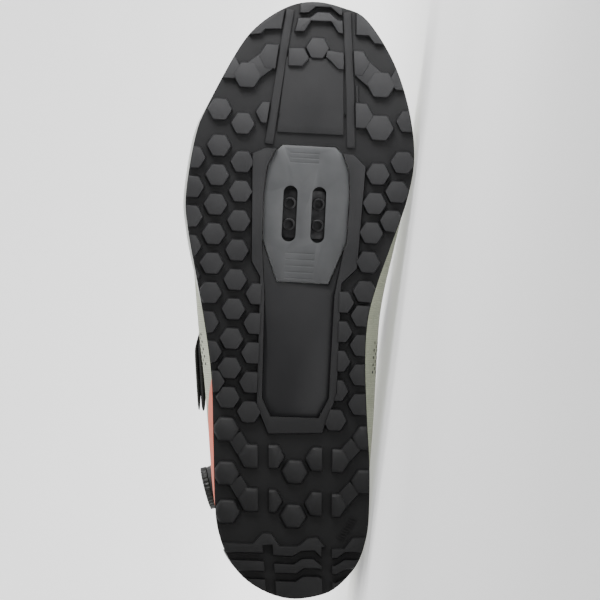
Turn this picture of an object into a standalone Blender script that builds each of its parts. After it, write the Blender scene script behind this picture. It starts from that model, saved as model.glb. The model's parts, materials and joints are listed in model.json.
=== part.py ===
# A right cycling shoe for two-bolt cleats, lying on its inner side.
#
# The shoe is modelled upright in its own frame: x runs from the heel to the toe, y from the outer
# side to the inner side, and z up from the tread. Slots and lug columns run along x.
# At the end an empty lays the whole shoe down on the floor, tread facing -Y.

import math

import bpy
import bmesh
from mathutils import Matrix, Vector
from mathutils.bvhtree import BVHTree

# Driving sizes, in metres

SOLE_LENGTH = 0.2914
BALL_WIDTH = 0.110
INSTEP_HEIGHT = 0.103       # top of the eyestays above the ground
HEEL_HEIGHT = 0.112         # back of the collar above the ground

LUG_DEPTH = 0.0034
BASE_THICKNESS = 0.0023
FOREFOOT_STACK = 0.0150     # ground to the footbed's underside at the ball
HEEL_STACK = 0.0255
TOE_SPRING = 0.0115
HEEL_BEVEL = 0.0025
FOOTBED_RAMP = (0.20, 0.70)     # where the heel's rise starts and the forefoot begins, of SOLE_LENGTH
SPRING_POWER = 1.8
SPRING_START = 0.740 * SOLE_LENGTH
BEVEL_START = 0.085 * SOLE_LENGTH

BASE_TOP = LUG_DEPTH + BASE_THICKNESS

UPPER_WALL = 0.0022
OVERLAY_THICKNESS = 0.0012
STRIPE_THICKNESS = 0.0008
INSOLE_THICKNESS = 0.0030
INSOLE_INSET = 0.036 * BALL_WIDTH + UPPER_WALL + 0.0012     # from the sole's outline
TONGUE_THICKNESS = 0.0040
STRAP_THICKNESS = 0.0022
TAB_THICKNESS = 0.0014
FIT = 0.0003                # gap between pieces that meet
OVERLAY_GAP = 0.0005        # the same between curved sheets
LUG_INSET = 0.0004          # lugs stop just inside the sole's edge
FLOOR_TRIM = 0.0003         # the flats that the shoe rests on are this deep

HEX_WIDTH = 0.0109          # across corners, at the lug's root
HEX_DRAFT = 0.93            # tip size over root size
CHAIN_SIZE = 1.08           # a chain's lugs over single lugs
LUG_ROOT = LUG_DEPTH + 0.4 * BASE_THICKNESS     # lugs reach this far into the base
RAIL_ROOT = LUG_DEPTH + 0.3 * BASE_THICKNESS
LUG_PITCH = 0.01435
ARM_WIDTH = 0.0078
ARM_DROP = 0.0007           # arms are lower than the lugs that they join

SLOT_SPACING = 0.0140       # the two-bolt standard
SLOT_WIDTH = 0.0068
SLOT_LENGTH = 0.0273
BOLT_PITCH = 0.0103
BOSS_WIDTH = 0.0058
BOSS_BORE = 0.0042
BOSS_RECESS = 0.0007        # bosses end this far inside the plate's face
NUT_TRAVEL = 0.0050         # each way along the slots
NUT_LENGTH = 0.0240
NUT_WIDTH = 0.0250
NUT_THICKNESS = 0.0020
CLEAT_ALONG = 0.643 * SOLE_LENGTH
PLATE_LENGTH = 0.0664
PLATE_WIDTH = 0.0415
PLATE_OUT = 0.0009
PLATE_THICKNESS = 0.0025
PANEL_THICKNESS = 0.0013
POCKET_ROOM = 0.0005

DIAL_WIDTH = 0.0215
DIAL_HEIGHT = 0.0030
DIAL_SEAT = 0.0055          # the base's body before the upper's curve cuts it
CABLE_WIDTH = 0.0012
GUIDE_LENGTH = 0.0100
GUIDE_WIDTH = 0.0050
GUIDE_HEIGHT = 0.0028

RIBS = 64                   # sections round the upper
ROWS = 9                    # steps up each section
ROW_CROWDING = 1.3          # steps are closer near the foot of a section

# Tables of shares

# The sole's outline, from the heel round the outer side to the toe and back: shares of
# SOLE_LENGTH along and of BALL_WIDTH out.
OUTLINE = [
    # along, out
    (0.000, 0.032), (0.034, -0.197), (0.081, -0.287), (0.140, -0.325),
    (0.259, -0.350), (0.360, -0.371), (0.446, -0.411), (0.528, -0.460),
    (0.607, -0.508), (0.666, -0.526), (0.764, -0.497), (0.817, -0.450),
    (0.915, -0.325), (0.959, -0.235), (0.991, -0.109), (1.000, 0.009),
    (0.992, 0.128), (0.974, 0.234), (0.906, 0.361), (0.824, 0.443),
    (0.745, 0.475), (0.675, 0.452), (0.602, 0.395), (0.530, 0.338),
    (0.474, 0.307), (0.404, 0.304), (0.309, 0.324), (0.223, 0.347),
    (0.136, 0.354), (0.072, 0.322), (0.026, 0.234), (0.003, 0.109),
]

# The upper's sections, at shares of the way round the outline. The first columns are shares of
# BALL_WIDTH, shoulder_run and shoulder_rise are shares of the way from the foot of the section
# to the edge of the opening, and the edge stands at a share of SOLE_LENGTH and BALL_WIDTH.
SECTIONS = [
    # turn, foot_in, bulge_out, bulge_rise, shoulder_run, shoulder_rise, edge_along, edge_out, edge_height
    (0.000, 0.030, -0.004, 0.190, 0.30, 0.66, 0.034, 0.014, 1.000 * HEEL_HEIGHT),
    (0.050, 0.030, -0.004, 0.180, 0.30, 0.64, 0.060, -0.190, 0.930 * HEEL_HEIGHT),
    (0.110, 0.026, 0.010, 0.180, 0.40, 0.72, 0.172, -0.284, 0.760 * HEEL_HEIGHT),
    (0.170, 0.024, 0.036, 0.210, 0.30, 0.74, 0.305, -0.280, 0.775 * HEEL_HEIGHT),
    (0.220, 0.024, 0.039, 0.200, 0.32, 0.72, 0.405, -0.190, 0.960 * INSTEP_HEIGHT),
    (0.270, 0.026, 0.010, 0.170, 0.36, 0.72, 0.520, -0.158, 0.855 * INSTEP_HEIGHT),
    (0.320, 0.030, -0.016, 0.130, 0.36, 0.72, 0.620, -0.120, 0.735 * INSTEP_HEIGHT),
    (0.380, 0.034, -0.018, 0.120, 0.30, 0.70, 0.668, -0.068, 0.668 * INSTEP_HEIGHT),
    (0.440, 0.036, -0.018, 0.120, 0.26, 0.72, 0.680, -0.030, 0.655 * INSTEP_HEIGHT),
    (0.500, 0.038, -0.018, 0.120, 0.24, 0.74, 0.684, 0.010, 0.650 * INSTEP_HEIGHT),
    (0.560, 0.036, -0.018, 0.125, 0.26, 0.76, 0.680, 0.050, 0.655 * INSTEP_HEIGHT),
    (0.615, 0.034, -0.018, 0.130, 0.30, 0.74, 0.668, 0.092, 0.672 * INSTEP_HEIGHT),
    (0.670, 0.030, -0.006, 0.150, 0.34, 0.74, 0.626, 0.140, 0.745 * INSTEP_HEIGHT),
    (0.730, 0.026, 0.034, 0.190, 0.34, 0.72, 0.520, 0.176, 0.880 * INSTEP_HEIGHT),
    (0.780, 0.024, 0.059, 0.200, 0.32, 0.72, 0.405, 0.206, 1.000 * INSTEP_HEIGHT),
    (0.830, 0.024, 0.040, 0.200, 0.30, 0.74, 0.305, 0.296, 0.800 * HEEL_HEIGHT),
    (0.890, 0.026, -0.004, 0.190, 0.24, 0.76, 0.172, 0.302, 0.780 * HEEL_HEIGHT),
    (0.950, 0.030, -0.002, 0.190, 0.25, 0.64, 0.060, 0.214, 0.935 * HEEL_HEIGHT),
]

# The midsole's side, from its bottom up: share of its height, and how far it stands proud of the
# outline. The narrow dip is the groove between its two ribs.
MIDSOLE_SIDE = [
    # rise, proud
    (0.00, -0.0006), (0.16, 0.0008), (0.42, 0.0012), (0.48, 0.0003), (0.56, 0.0012),
    (0.84, 0.0009), (1.00, -0.0010),
]

# Columns of single lugs: where the first stands, where the last drifts to, and how many.
# Shares of SOLE_LENGTH along and of BALL_WIDTH out.
LUG_COLUMNS = [
    # first_along, first_out, last_out, count
    (0.8126, -0.393, -0.393, 1),    # outer, alone
    (0.7505, -0.390, -0.397, 6),    # outer
    (0.7907, -0.289, -0.289, 1),    # second, alone
    (0.7251, -0.284, -0.294, 9),    # second
    (0.8096, -0.196, -0.196, 1),    # beside the toe rail
    (0.5058, -0.188, -0.199, 5),    # inner, against the arch frame
    (0.7289, -0.500, -0.497, 5),    # outer edge, cut by the outline
    (0.4520, -0.440, -0.395, 4),    # outer edge of the waist
    (0.7158, 0.318, 0.286, 5),      # inner side, second
    (0.7371, 0.424, 0.389, 3),      # inner side, edge
    (0.4993, 0.190, 0.182, 5),      # inner side, against the arch frame
    (0.4780, 0.282, 0.292, 5),      # inner side of the waist
]

# Chains of lugs joined by low arms, shares as above.
LUG_CHAINS = [
    ((0.880, -0.395), (0.868, -0.290), (0.903, -0.182)),                # toe, outer
    ((0.901, 0.205), (0.862, 0.314), (0.881, 0.400)),                   # toe, inner
    ((0.904, -0.078), (0.921, 0.024), (0.903, 0.112)),                  # toe, middle
    ((0.962, -0.070), (0.977, 0.024), (0.960, 0.114)),                  # toe, front row
    ((0.965, -0.160), (0.962, -0.215), (0.952, -0.270)),                # toe corner, outer
    ((0.962, 0.205), (0.950, 0.290), (0.946, 0.340)),                   # toe corner, inner
    ((0.808, 0.200), (0.787, 0.318), (0.806, 0.425)),                   # forefoot, inner
    ((0.282, -0.296), (0.236, -0.178)),                                 # heel row 1, outer
    ((0.235, -0.062), (0.213, 0.022), (0.234, 0.102)),                  # heel row 1, middle
    ((0.237, 0.208), (0.276, 0.306)),                                   # heel row 1, inner
    ((0.206, -0.290), (0.162, -0.172)),                                 # heel row 2, outer
    ((0.161, -0.056), (0.138, 0.026), (0.160, 0.108)),                  # heel row 2, middle
    ((0.164, 0.212), (0.203, 0.312)),                                   # heel row 2, inner
    ((0.142, -0.274),),                                                 # heel row 3
]

# The wave that the heel's cross bars follow: shares of BALL_WIDTH out, and rise towards the toe
# as a share of BAR_WAVE.
BAR_LINE = [(-0.340, 0.0), (-0.145, 0.0), (-0.080, 1.0), (-0.025, 0.0), (0.050, -0.1),
            (0.112, 1.0), (0.170, 0.0), (0.255, -0.1), (0.310, 1.0), (0.370, 1.0)]
BAR_WAVE = 0.0050
BAR_WIDTH = 0.0064
BAR_PITCH = 0.0090
BAR_FIRST = 0.0235
BAR_ROWS = 3
BAR_OVERLAP = 0.3 * BAR_WIDTH
BAR_STEP = 0.0001           # neighbouring lengths of a bar differ by this in height

# Grooves cut through the lugs along the shoe: from, to, as shares, and their widths.
CHANNELS = [
    # along_a, out_a, along_b, out_b, width
    (1.010, -0.100, 0.861, -0.142, 0.0052),
    (0.861, -0.142, 0.775, -0.166, 0.0052),
    (1.010, 0.140, 0.853, 0.177, 0.0050),
    (0.853, 0.177, 0.775, 0.190, 0.0050),
    (0.275, -0.122, 0.130, -0.114, 0.0042),
    (0.275, 0.156, 0.130, 0.166, 0.0044),
    (0.105, -0.078, -0.010, -0.066, 0.0052),
    (0.105, 0.176, -0.010, 0.176, 0.0048),
]
RAIL_WIDTH = 0.0027
RAIL_HEIGHT = 0.0024
RAIL_END = 0.985            # share of SOLE_LENGTH
FRAME_LOW = 0.25 * LUG_DEPTH

# The raised frame round the cleat plate and the arch window, and the window in it.
FRAME = [
    # along, out
    (0.752, -0.187), (0.741, -0.246), (0.560, -0.226), (0.535, -0.185), (0.321, -0.172),
    (0.272, -0.112), (0.278, 0.132), (0.343, 0.190), (0.530, 0.186), (0.556, 0.252),
    (0.728, 0.268), (0.748, 0.208),
]
ARCH_WINDOW = [(0.513, -0.156), (0.325, -0.134), (0.304, -0.094), (0.307, 0.106),
               (0.343, 0.150), (0.506, 0.136)]
# Corners of one half of the cleat plate: shares of its half length and half width.
PLATE_CORNERS = [(-1.0, -0.60), (-0.38, -0.98), (0.30, -1.0), (0.66, -0.95), (0.90, -0.79), (1.0, -0.62)]
PAD_ALONG = (0.778, 0.878)
PAD_OUT = (-0.138, 0.150)
PAD_HEIGHT = 0.0014

MATERIALS = {
    # name: colour, roughness, metallic
    "rubber": ((0.030, 0.030, 0.032), 0.62, 0.0),
    "foam": ((0.55, 0.56, 0.54), 0.70, 0.0),
    "plate": ((0.130, 0.133, 0.138), 0.40, 0.0),
    "gloss": ((0.012, 0.012, 0.013), 0.20, 0.0),
    "steel": ((0.30, 0.30, 0.31), 0.35, 1.0),
    "sage": ((0.420, 0.440, 0.330), 0.80, 0.0),
    "orange": ((0.62, 0.20, 0.13), 0.60, 0.0),
    "black": ((0.010, 0.010, 0.009), 0.55, 0.0),
    "lining": ((0.060, 0.062, 0.060), 0.90, 0.0),
}


def smooth_point(points, place, closed):
    """A point on the Catmull-Rom curve through points, place counted in rows."""
    count = len(points)
    step = math.floor(place)
    share = place - step

    def row(index):
        if closed:
            return points[index % count]
        return points[max(0, min(count - 1, index))]

    before, start, end, after = (row(step + k) for k in (-1, 0, 1, 2))
    values = []
    for a, b, c, d in zip(before, start, end, after):
        values.append(0.5 * (2 * b + (c - a) * share + (2 * a - 5 * b + 4 * c - d) * share ** 2
                             + (3 * b - a - 3 * c + d) * share ** 3))
    return values


def even_line(points, closed, steps):
    """The curve through points, cut finely, with the share of its length at each cut."""
    spans = len(points) if closed else len(points) - 1
    cuts = [Vector(smooth_point(points, spans * k / steps, closed)) for k in range(steps + 1)]
    lengths = [0.0]
    for a, b in zip(cuts, cuts[1:]):
        lengths.append(lengths[-1] + (b - a).length)
    return cuts, [length / lengths[-1] for length in lengths]


def point_at(line, share):
    """The point at a share of the length of an even_line."""
    cuts, lengths = line
    for index in range(1, len(cuts)):
        if lengths[index] >= share:
            part = (share - lengths[index - 1]) / (lengths[index] - lengths[index - 1])
            return cuts[index - 1].lerp(cuts[index], part)
    return cuts[-1].copy()


def shares(rows):
    """Plan points of a table of shares."""
    return [(along * SOLE_LENGTH, out * BALL_WIDTH) for along, out in rows]


OUTLINE_LINE = even_line(shares(OUTLINE), True, 640)


def outline_at(turn, inset=0.0):
    """The sole's outline at a share of the way round, moved inwards by inset."""
    here = point_at(OUTLINE_LINE, turn % 1.0)
    ahead = point_at(OUTLINE_LINE, (turn + 0.004) % 1.0)
    behind = point_at(OUTLINE_LINE, (turn - 0.004) % 1.0)
    run = (ahead - behind).normalized()
    return here + Vector((-run.y, run.x)) * inset


def outline_ring(inset):
    return [outline_at(k / RIBS, inset) for k in range(RIBS)]


def lift(along):
    """Toe spring and heel bevel: how far the tread rises off its plane."""
    if along > SPRING_START:
        return TOE_SPRING * ((along - SPRING_START) / (SOLE_LENGTH - SPRING_START)) ** SPRING_POWER
    if along < BEVEL_START:
        return HEEL_BEVEL * ((BEVEL_START - along) / BEVEL_START) ** 2
    return 0.0


def footbed(along):
    """Height of the midsole's top."""
    start, end = FOOTBED_RAMP
    share = min(1.0, max(0.0, (along / SOLE_LENGTH - start) / (end - start)))
    ease = share * share * (3 - 2 * share)
    return HEEL_STACK + (FOREFOOT_STACK - HEEL_STACK) * ease + lift(along)


def section_row(turn):
    """The upper's section values at a share of the way round."""
    turns = [row[0] for row in SECTIONS] + [1.0]
    turn = turn % 1.0
    for index in range(len(SECTIONS)):
        if turns[index] <= turn < turns[index + 1]:
            place = index + (turn - turns[index]) / (turns[index + 1] - turns[index])
            return smooth_point([row[1:] for row in SECTIONS], place, True)
    return list(SECTIONS[0][1:])


def section_line(turn):
    """One section of the upper's outer face, from the feather edge to the edge of the opening."""
    foot_in, bulge_out, bulge_rise, run, rise, edge_along, edge_out, edge_height = section_row(turn)
    foot_plan = outline_at(turn, foot_in * BALL_WIDTH)
    bulge_plan = outline_at(turn, -bulge_out * BALL_WIDTH)
    foot = Vector((foot_plan.x, foot_plan.y, footbed(foot_plan.x) + FIT))
    bulge = Vector((bulge_plan.x, bulge_plan.y, foot.z + bulge_rise * BALL_WIDTH))
    edge = Vector((edge_along * SOLE_LENGTH, edge_out * BALL_WIDTH, edge_height))
    low = foot.lerp(bulge, 0.5)
    low.x += 0.25 * (bulge.x - foot.x)
    low.y += 0.25 * (bulge.y - foot.y)
    shoulder = bulge.lerp(edge, run)
    shoulder.z = foot.z + rise * (edge.z - foot.z)
    return even_line([tuple(p) for p in (foot, low, bulge, shoulder, edge)], False, 48)


LINES = {}      # sections already worked out


def upper_point(turn, rise):
    """A point of the upper's outer face."""
    key = round((turn % 1.0) * 14400)
    if key not in LINES:
        LINES[key] = section_line(key / 14400)
    return point_at(LINES[key], min(1.0, max(0.0, rise)))


def upper_normal(turn, rise):
    """The outward direction of the upper's face."""
    rise = min(0.985, max(0.015, rise))
    around = upper_point(turn + 0.004, rise) - upper_point(turn - 0.004, rise)
    up = upper_point(turn, rise + 0.015) - upper_point(turn, rise - 0.015)
    return around.cross(up).normalized()


def upper_offset(turn, rise, out):
    return upper_point(turn, rise) + upper_normal(turn, rise) * out


def section_length(turn):
    """Length of a section from its foot to its edge."""
    cuts = section_line(turn)[0]
    return sum((b - a).length for a, b in zip(cuts, cuts[1:]))


# Scene, collections and small helpers

for old in list(bpy.data.objects):
    bpy.data.objects.remove(old)
shoe = bpy.data.collections.new("cycling_shoe")
cutters = bpy.data.collections.new("cutters")
bpy.context.scene.collection.children.link(shoe)
bpy.context.scene.collection.children.link(cutters)


def make_material(name, look):
    colour, roughness, metallic = MATERIALS[look]
    material = bpy.data.materials.new(name)
    material.use_nodes = True
    shader = material.node_tree.nodes["Principled BSDF"]
    shader.inputs["Base Color"].default_value = (*colour, 1.0)
    shader.inputs["Roughness"].default_value = roughness
    shader.inputs["Metallic"].default_value = metallic
    return material


def new_object(name, bm, look=None, closed=True):
    """An object of the shoe with a material of its own, or a cutter if it has no look."""
    mesh = bpy.data.meshes.new(name)
    if closed:
        bmesh.ops.recalc_face_normals(bm, faces=bm.faces[:])
    bm.to_mesh(mesh)
    bm.free()
    piece = bpy.data.objects.new(name, mesh)
    if look is None:
        cutters.objects.link(piece)
        piece.hide_render = True
        piece.display_type = "WIRE"
    else:
        shoe.objects.link(piece)
        mesh.materials.append(make_material(name, look))
    return piece


def boolean(piece, operation, other, self_crossing=False):
    step = piece.modifiers.new(operation.lower(), "BOOLEAN")
    step.operation = operation
    step.object = other
    step.solver = "EXACT"
    step.use_self = self_crossing
    return step


def applied(piece):
    """Bakes a piece's modifiers into its mesh."""
    bpy.context.view_layer.update()
    graph = bpy.context.evaluated_depsgraph_get()
    mesh = bpy.data.meshes.new_from_object(piece.evaluated_get(graph))
    materials = list(piece.data.materials)
    piece.modifiers.clear()
    piece.data = mesh
    mesh.materials.clear()
    for material in materials:
        mesh.materials.append(material)
    return piece


def add_prism(bm, plan, low, high):
    """A straight prism on a plan outline."""
    verts = [bm.verts.new((x, y, low)) for x, y in plan]
    face = bm.faces.new(verts)
    raised = bmesh.ops.extrude_face_region(bm, geom=[face])
    tops = [v for v in raised["geom"] if isinstance(v, bmesh.types.BMVert)]
    bmesh.ops.translate(bm, verts=tops, vec=(0, 0, high - low))


def prism(name, plan, low, high, look=None):
    bm = bmesh.new()
    add_prism(bm, plan, low, high)
    return new_object(name, bm, look)


def bend(piece, stations, height):
    """Cuts a piece across at each station and moves each vertex to its height there."""
    bm = bmesh.new()
    bm.from_mesh(piece.data)
    for station in stations:
        geom = bm.verts[:] + bm.edges[:] + bm.faces[:]
        bmesh.ops.bisect_plane(bm, geom=geom, plane_co=(station, 0, 0), plane_no=(1, 0, 0))
    for vert in bm.verts:
        vert.co.z = height(vert.co.x, vert.co.z)
    bm.to_mesh(piece.data)
    bm.free()


def stations(start, end, count):
    return [start + (end - start) * k / count for k in range(1, count)]


TREAD_STATIONS = stations(SPRING_START, SOLE_LENGTH, 7) + stations(0.0, BEVEL_START, 3)
BED_STATIONS = stations(0.0, SOLE_LENGTH, 18)


# Outsole

def add_hexagon(bm, along, out, size=1.0):
    radius = 0.5 * HEX_WIDTH * size
    place = Matrix.Translation((along, out, 0.5 * LUG_ROOT))
    bmesh.ops.create_cone(bm, cap_ends=True, segments=6, radius1=radius * HEX_DRAFT, radius2=radius,
                          depth=LUG_ROOT, matrix=place)


def add_bar(bm, start, end, width, drop, root):
    """A low straight bar between two plan points, its foot sunk to the height root."""
    start, end = Vector(start), Vector(end)
    run = end - start
    turn = math.atan2(run.y, run.x)
    middle = (start + end) / 2
    place = (Matrix.Translation((middle.x, middle.y, (drop + root) / 2)) @ Matrix.Rotation(turn, 4, "Z")
             @ Matrix.Diagonal((run.length, width, root - drop, 1)))
    bmesh.ops.create_cube(bm, size=1.0, matrix=place)


def lug_blocks():
    """Every lug and heel bar, before the outline and the channels cut them."""
    bm = bmesh.new()
    for first_along, first_out, last_out, count in LUG_COLUMNS:
        for k in range(count):
            share = k / max(1, count - 1)
            out = (first_out + (last_out - first_out) * share) * BALL_WIDTH
            add_hexagon(bm, first_along * SOLE_LENGTH - k * LUG_PITCH, out)
    for chain in LUG_CHAINS:
        knots = shares(chain)
        for along, out in knots:
            add_hexagon(bm, along, out, CHAIN_SIZE)
        for start, end in zip(knots, knots[1:]):
            add_bar(bm, start, end, ARM_WIDTH, ARM_DROP, LUG_ROOT - FIT)
    for row in range(BAR_ROWS):
        line = [(BAR_FIRST - row * BAR_PITCH + rise * BAR_WAVE, out * BALL_WIDTH) for out, rise in BAR_LINE]
        for index, (start, end) in enumerate(zip(line, line[1:])):
            run = (Vector(end) - Vector(start)).normalized() * BAR_OVERLAP
            drop = (row + 1 + index % 2) * BAR_STEP
            add_bar(bm, Vector(start) - run, Vector(end) + run, BAR_WIDTH, drop, LUG_ROOT - FIT - drop)
    return new_object("lug_blocks", bm)


def channel_cutters():
    bm = bmesh.new()
    for along_a, out_a, along_b, out_b, width in CHANNELS:
        start, end = shares([(along_a, out_a), (along_b, out_b)])
        add_bar(bm, start, end, width, -LUG_DEPTH, BASE_TOP)
    return new_object("channels", bm)


def plate_plan(room):
    """The cleat plate's long octagon, grown by room on every side."""
    length = PLATE_LENGTH / 2 + room
    width = PLATE_WIDTH / 2 + room
    half = [(CLEAT_ALONG + along * length, PLATE_OUT + out * width) for along, out in PLATE_CORNERS]
    other = [(along, 2 * PLATE_OUT - out) for along, out in reversed(half)]
    return half + other


def shrunk(plan, room):
    """A plan moved inwards by room along each corner's inward direction."""
    middle = sum((Vector(p) for p in plan), Vector((0, 0))) / len(plan)
    moved = []
    for index, here in enumerate(plan):
        before = (Vector(here) - Vector(plan[index - 1])).normalized()
        after = (Vector(plan[(index + 1) % len(plan)]) - Vector(here)).normalized()
        side = Vector((before.y + after.y, -before.x - after.x)).normalized()
        if side.dot(middle - Vector(here)) < 0:
            side = -side
        slant = max(0.5, abs(side.dot(Vector((before.y, -before.x)))))
        moved.append(tuple(Vector(here) + side * room / slant))
    return moved


def make_outsole():
    sole = prism("outsole", outline_ring(0.0), LUG_DEPTH, BASE_TOP, "rubber")
    lugs = lug_blocks()
    fence = prism("lug_fence", outline_ring(LUG_INSET), -LUG_DEPTH, BASE_TOP)
    boolean(lugs, "INTERSECT", fence, True)
    boolean(lugs, "DIFFERENCE", channel_cutters(), True)
    boolean(sole, "UNION", applied(lugs))

    raised = bmesh.new()
    for along_a, out_a, along_b, out_b, _ in CHANNELS[:4]:
        start, end = shares([(min(along_a, RAIL_END), out_a), (along_b, out_b)])
        add_bar(raised, start, end, RAIL_WIDTH, LUG_DEPTH - RAIL_HEIGHT, RAIL_ROOT)
    rails = new_object("toe_rails", raised)
    boolean(rails, "INTERSECT", fence, True)
    boolean(sole, "UNION", applied(rails))

    frame = prism("plate_frame", shares(FRAME), FRAME_LOW, RAIL_ROOT + FIT)
    boolean(sole, "UNION", frame)
    pad_plan = shares([(PAD_ALONG[0], PAD_OUT[0]), (PAD_ALONG[1], PAD_OUT[0]),
                       (PAD_ALONG[1], PAD_OUT[1]), (PAD_ALONG[0], PAD_OUT[1])])
    pad = prism("toe_pad", pad_plan, LUG_DEPTH - PAD_HEIGHT, RAIL_ROOT - FIT)
    boolean(sole, "UNION", pad)
    plate_window = prism("plate_window", plate_plan(FIT), -LUG_DEPTH, 2 * BASE_TOP)
    boolean(sole, "DIFFERENCE", plate_window)
    arch_window = prism("arch_window", shares(ARCH_WINDOW), -LUG_DEPTH, 2 * BASE_TOP)
    boolean(sole, "DIFFERENCE", arch_window)
    applied(sole)
    bend(sole, TREAD_STATIONS, lambda along, height: height + lift(along))
    return sole


# Cleat plate, arch panel and nut plate

def stadium(along, out, length, width, steps=6):
    """Plan of a slot with round ends."""
    half = (length - width) / 2
    plan = []
    for sign in (1, -1):
        for k in range(steps + 1):
            angle = math.pi * k / steps - math.pi / 2
            plan.append((along + sign * (half + width / 2 * math.cos(angle)),
                         out + sign * width / 2 * math.sin(angle)))
    return plan


def make_cleat_plate():
    face = BASE_TOP - PLATE_THICKNESS
    plate = prism("cleat_plate", plate_plan(0.0), face, BASE_TOP, "plate")
    for side in (-1, 1):
        plan = stadium(CLEAT_ALONG, side * SLOT_SPACING / 2, SLOT_LENGTH, SLOT_WIDTH)
        boolean(plate, "DIFFERENCE", prism(f"slot_{side + 1}", plan, 0.0, 2 * BASE_TOP))
    return plate


def make_arch_panel():
    plan = shrunk(shares(ARCH_WINDOW), FIT)
    return prism("arch_panel", plan, BASE_TOP - PANEL_THICKNESS, BASE_TOP, "gloss")


def make_nut_plate():
    """A steel plate behind the slots, with a bored boss for each bolt place."""
    bm = bmesh.new()
    bmesh.ops.create_cube(bm, size=1.0, matrix=Matrix.Diagonal((NUT_LENGTH, NUT_WIDTH, NUT_THICKNESS, 1)))
    nut = new_object("nut_plate", bm, "steel")
    bosses, bores = bmesh.new(), bmesh.new()
    boss_end = BASE_TOP - PLATE_THICKNESS + BOSS_RECESS
    middle = BASE_TOP + FIT + NUT_THICKNESS / 2
    height = middle - boss_end
    for along in (-BOLT_PITCH / 2, BOLT_PITCH / 2):
        for out in (-SLOT_SPACING / 2, SLOT_SPACING / 2):
            place = Matrix.Translation((along, out, -height / 2))
            bmesh.ops.create_cone(bosses, cap_ends=True, segments=12, radius1=BOSS_WIDTH / 2,
                                  radius2=BOSS_WIDTH / 2, depth=height, matrix=place)
            bmesh.ops.create_cone(bores, cap_ends=True, segments=10, radius1=BOSS_BORE / 2,
                                  radius2=BOSS_BORE / 2, depth=4 * height, matrix=place)
    boss_piece = new_object("bosses", bosses)
    bore_piece = new_object("bores", bores)
    boolean(nut, "UNION", boss_piece)
    boolean(nut, "DIFFERENCE", bore_piece)
    for piece in (nut, boss_piece, bore_piece):
        piece.location = (CLEAT_ALONG, 0.0, middle)
    return nut


# Midsole and insole

def make_midsole():
    """Foam with stepped and ribbed sides, and a pocket for the nut plate underneath."""
    bm = bmesh.new()
    ring = [bm.verts.new((p.x, p.y, 0.0)) for p in outline_ring(-MIDSOLE_SIDE[0][1])]
    face = bm.faces.new(ring)
    for rise, proud in MIDSOLE_SIDE[1:]:
        raised = bmesh.ops.extrude_face_region(bm, geom=[face])["geom"]
        if rise > MIDSOLE_SIDE[1][0]:
            bmesh.ops.delete(bm, geom=[face], context="FACES_ONLY")
        face = next(f for f in raised if isinstance(f, bmesh.types.BMFace))
        for vert, plan in zip(ring_order(face, bm, ring), outline_ring(-proud)):
            vert.co = (plan.x, plan.y, rise)
        ring = ring_order(face, bm, ring)
    midsole = new_object("midsole", bm, "foam")
    low = BASE_TOP + FIT

    def height(along, share):
        return low + lift(along) + share * (footbed(along) - low - lift(along))

    bend(midsole, BED_STATIONS, height)
    pocket_high = low + NUT_THICKNESS + FIT
    length = NUT_LENGTH + 2 * NUT_TRAVEL + 2 * POCKET_ROOM
    width = NUT_WIDTH + 2 * POCKET_ROOM
    plan = [(CLEAT_ALONG + a * length / 2, b * width / 2) for a, b in ((-1, -1), (1, -1), (1, 1), (-1, 1))]
    boolean(midsole, "DIFFERENCE", prism("nut_pocket", plan, 0.0, pocket_high))
    return midsole


def ring_order(face, bm, previous):
    """A face's corners in the order of the ring below them."""
    corners = list(face.verts)
    ordered = []
    for vert in previous:
        near = min(corners, key=lambda c: (c.co.xy - vert.co.xy).length)
        ordered.append(near)
    return ordered


def make_insole():
    bed = prism("insole", outline_ring(INSOLE_INSET), 0.0, 1.0, "lining")
    bend(bed, BED_STATIONS, lambda along, share: footbed(along) + FIT + share * INSOLE_THICKNESS)
    return bed


# Upper and what is cut from its surface

def grid_sheet(bm, rows, closed):
    """Quads between rows of points, each row as long as the others."""
    grid = [[bm.verts.new(point) for point in row] for row in rows]
    last = len(grid) if closed else len(grid) - 1
    for i in range(last):
        for a, b in zip(range(len(grid[i]) - 1), range(1, len(grid[i]))):
            low, high = grid[i], grid[(i + 1) % len(grid)]
            bm.faces.new((low[a], high[a], high[b], low[b]))


def solid_sheet(name, rows, thickness, look, closed=False):
    """A sheet through rows of points, thickened on its inner side."""
    bm = bmesh.new()
    grid_sheet(bm, rows, closed)
    mesh_piece = new_object(name, bm, look, closed=False)
    wall = mesh_piece.modifiers.new("wall", "SOLIDIFY")
    wall.thickness = thickness
    wall.offset = -1.0
    return mesh_piece


def make_upper():
    rows = []
    for k in range(RIBS):
        rows.append([upper_point(k / RIBS, (j / ROWS) ** ROW_CROWDING) for j in range(ROWS + 1)])
    return solid_sheet("upper", rows, UPPER_WALL, "sage", closed=True)


def overlay(name, rib_a, rib_b, rows, low, high, look, thickness=OVERLAY_THICKNESS):
    """A sheet on the upper between two of its ribs. low and high give its rise at a share of the
    way along it."""
    sheet = []
    for rib in range(rib_a, rib_b + 1):
        share = (rib - rib_a) / (rib_b - rib_a)
        turn = rib / RIBS
        start, end = low(share, turn), high(share, turn)
        face = OVERLAY_GAP + thickness
        sheet.append([upper_offset(turn, start + (end - start) * j / rows, face) for j in range(rows + 1)])
    return solid_sheet(name, sheet, thickness, look)


def edge_rise(turn, width):
    """The rise at which a distance of width is left to the edge of the opening."""
    return 1.0 - width / section_length(turn)


OVERLAY_FOOT = 0.02         # rise at which overlays start
EYESTAY_WIDTH = 0.0150
EYESTAY_MARGIN = 0.0020


def arch(ends, middle, power):
    """The rise of an overlay's top: low at its ends, higher between them."""
    return lambda share, turn: ends + (middle - ends) * math.sin(math.pi * share) ** power


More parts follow.
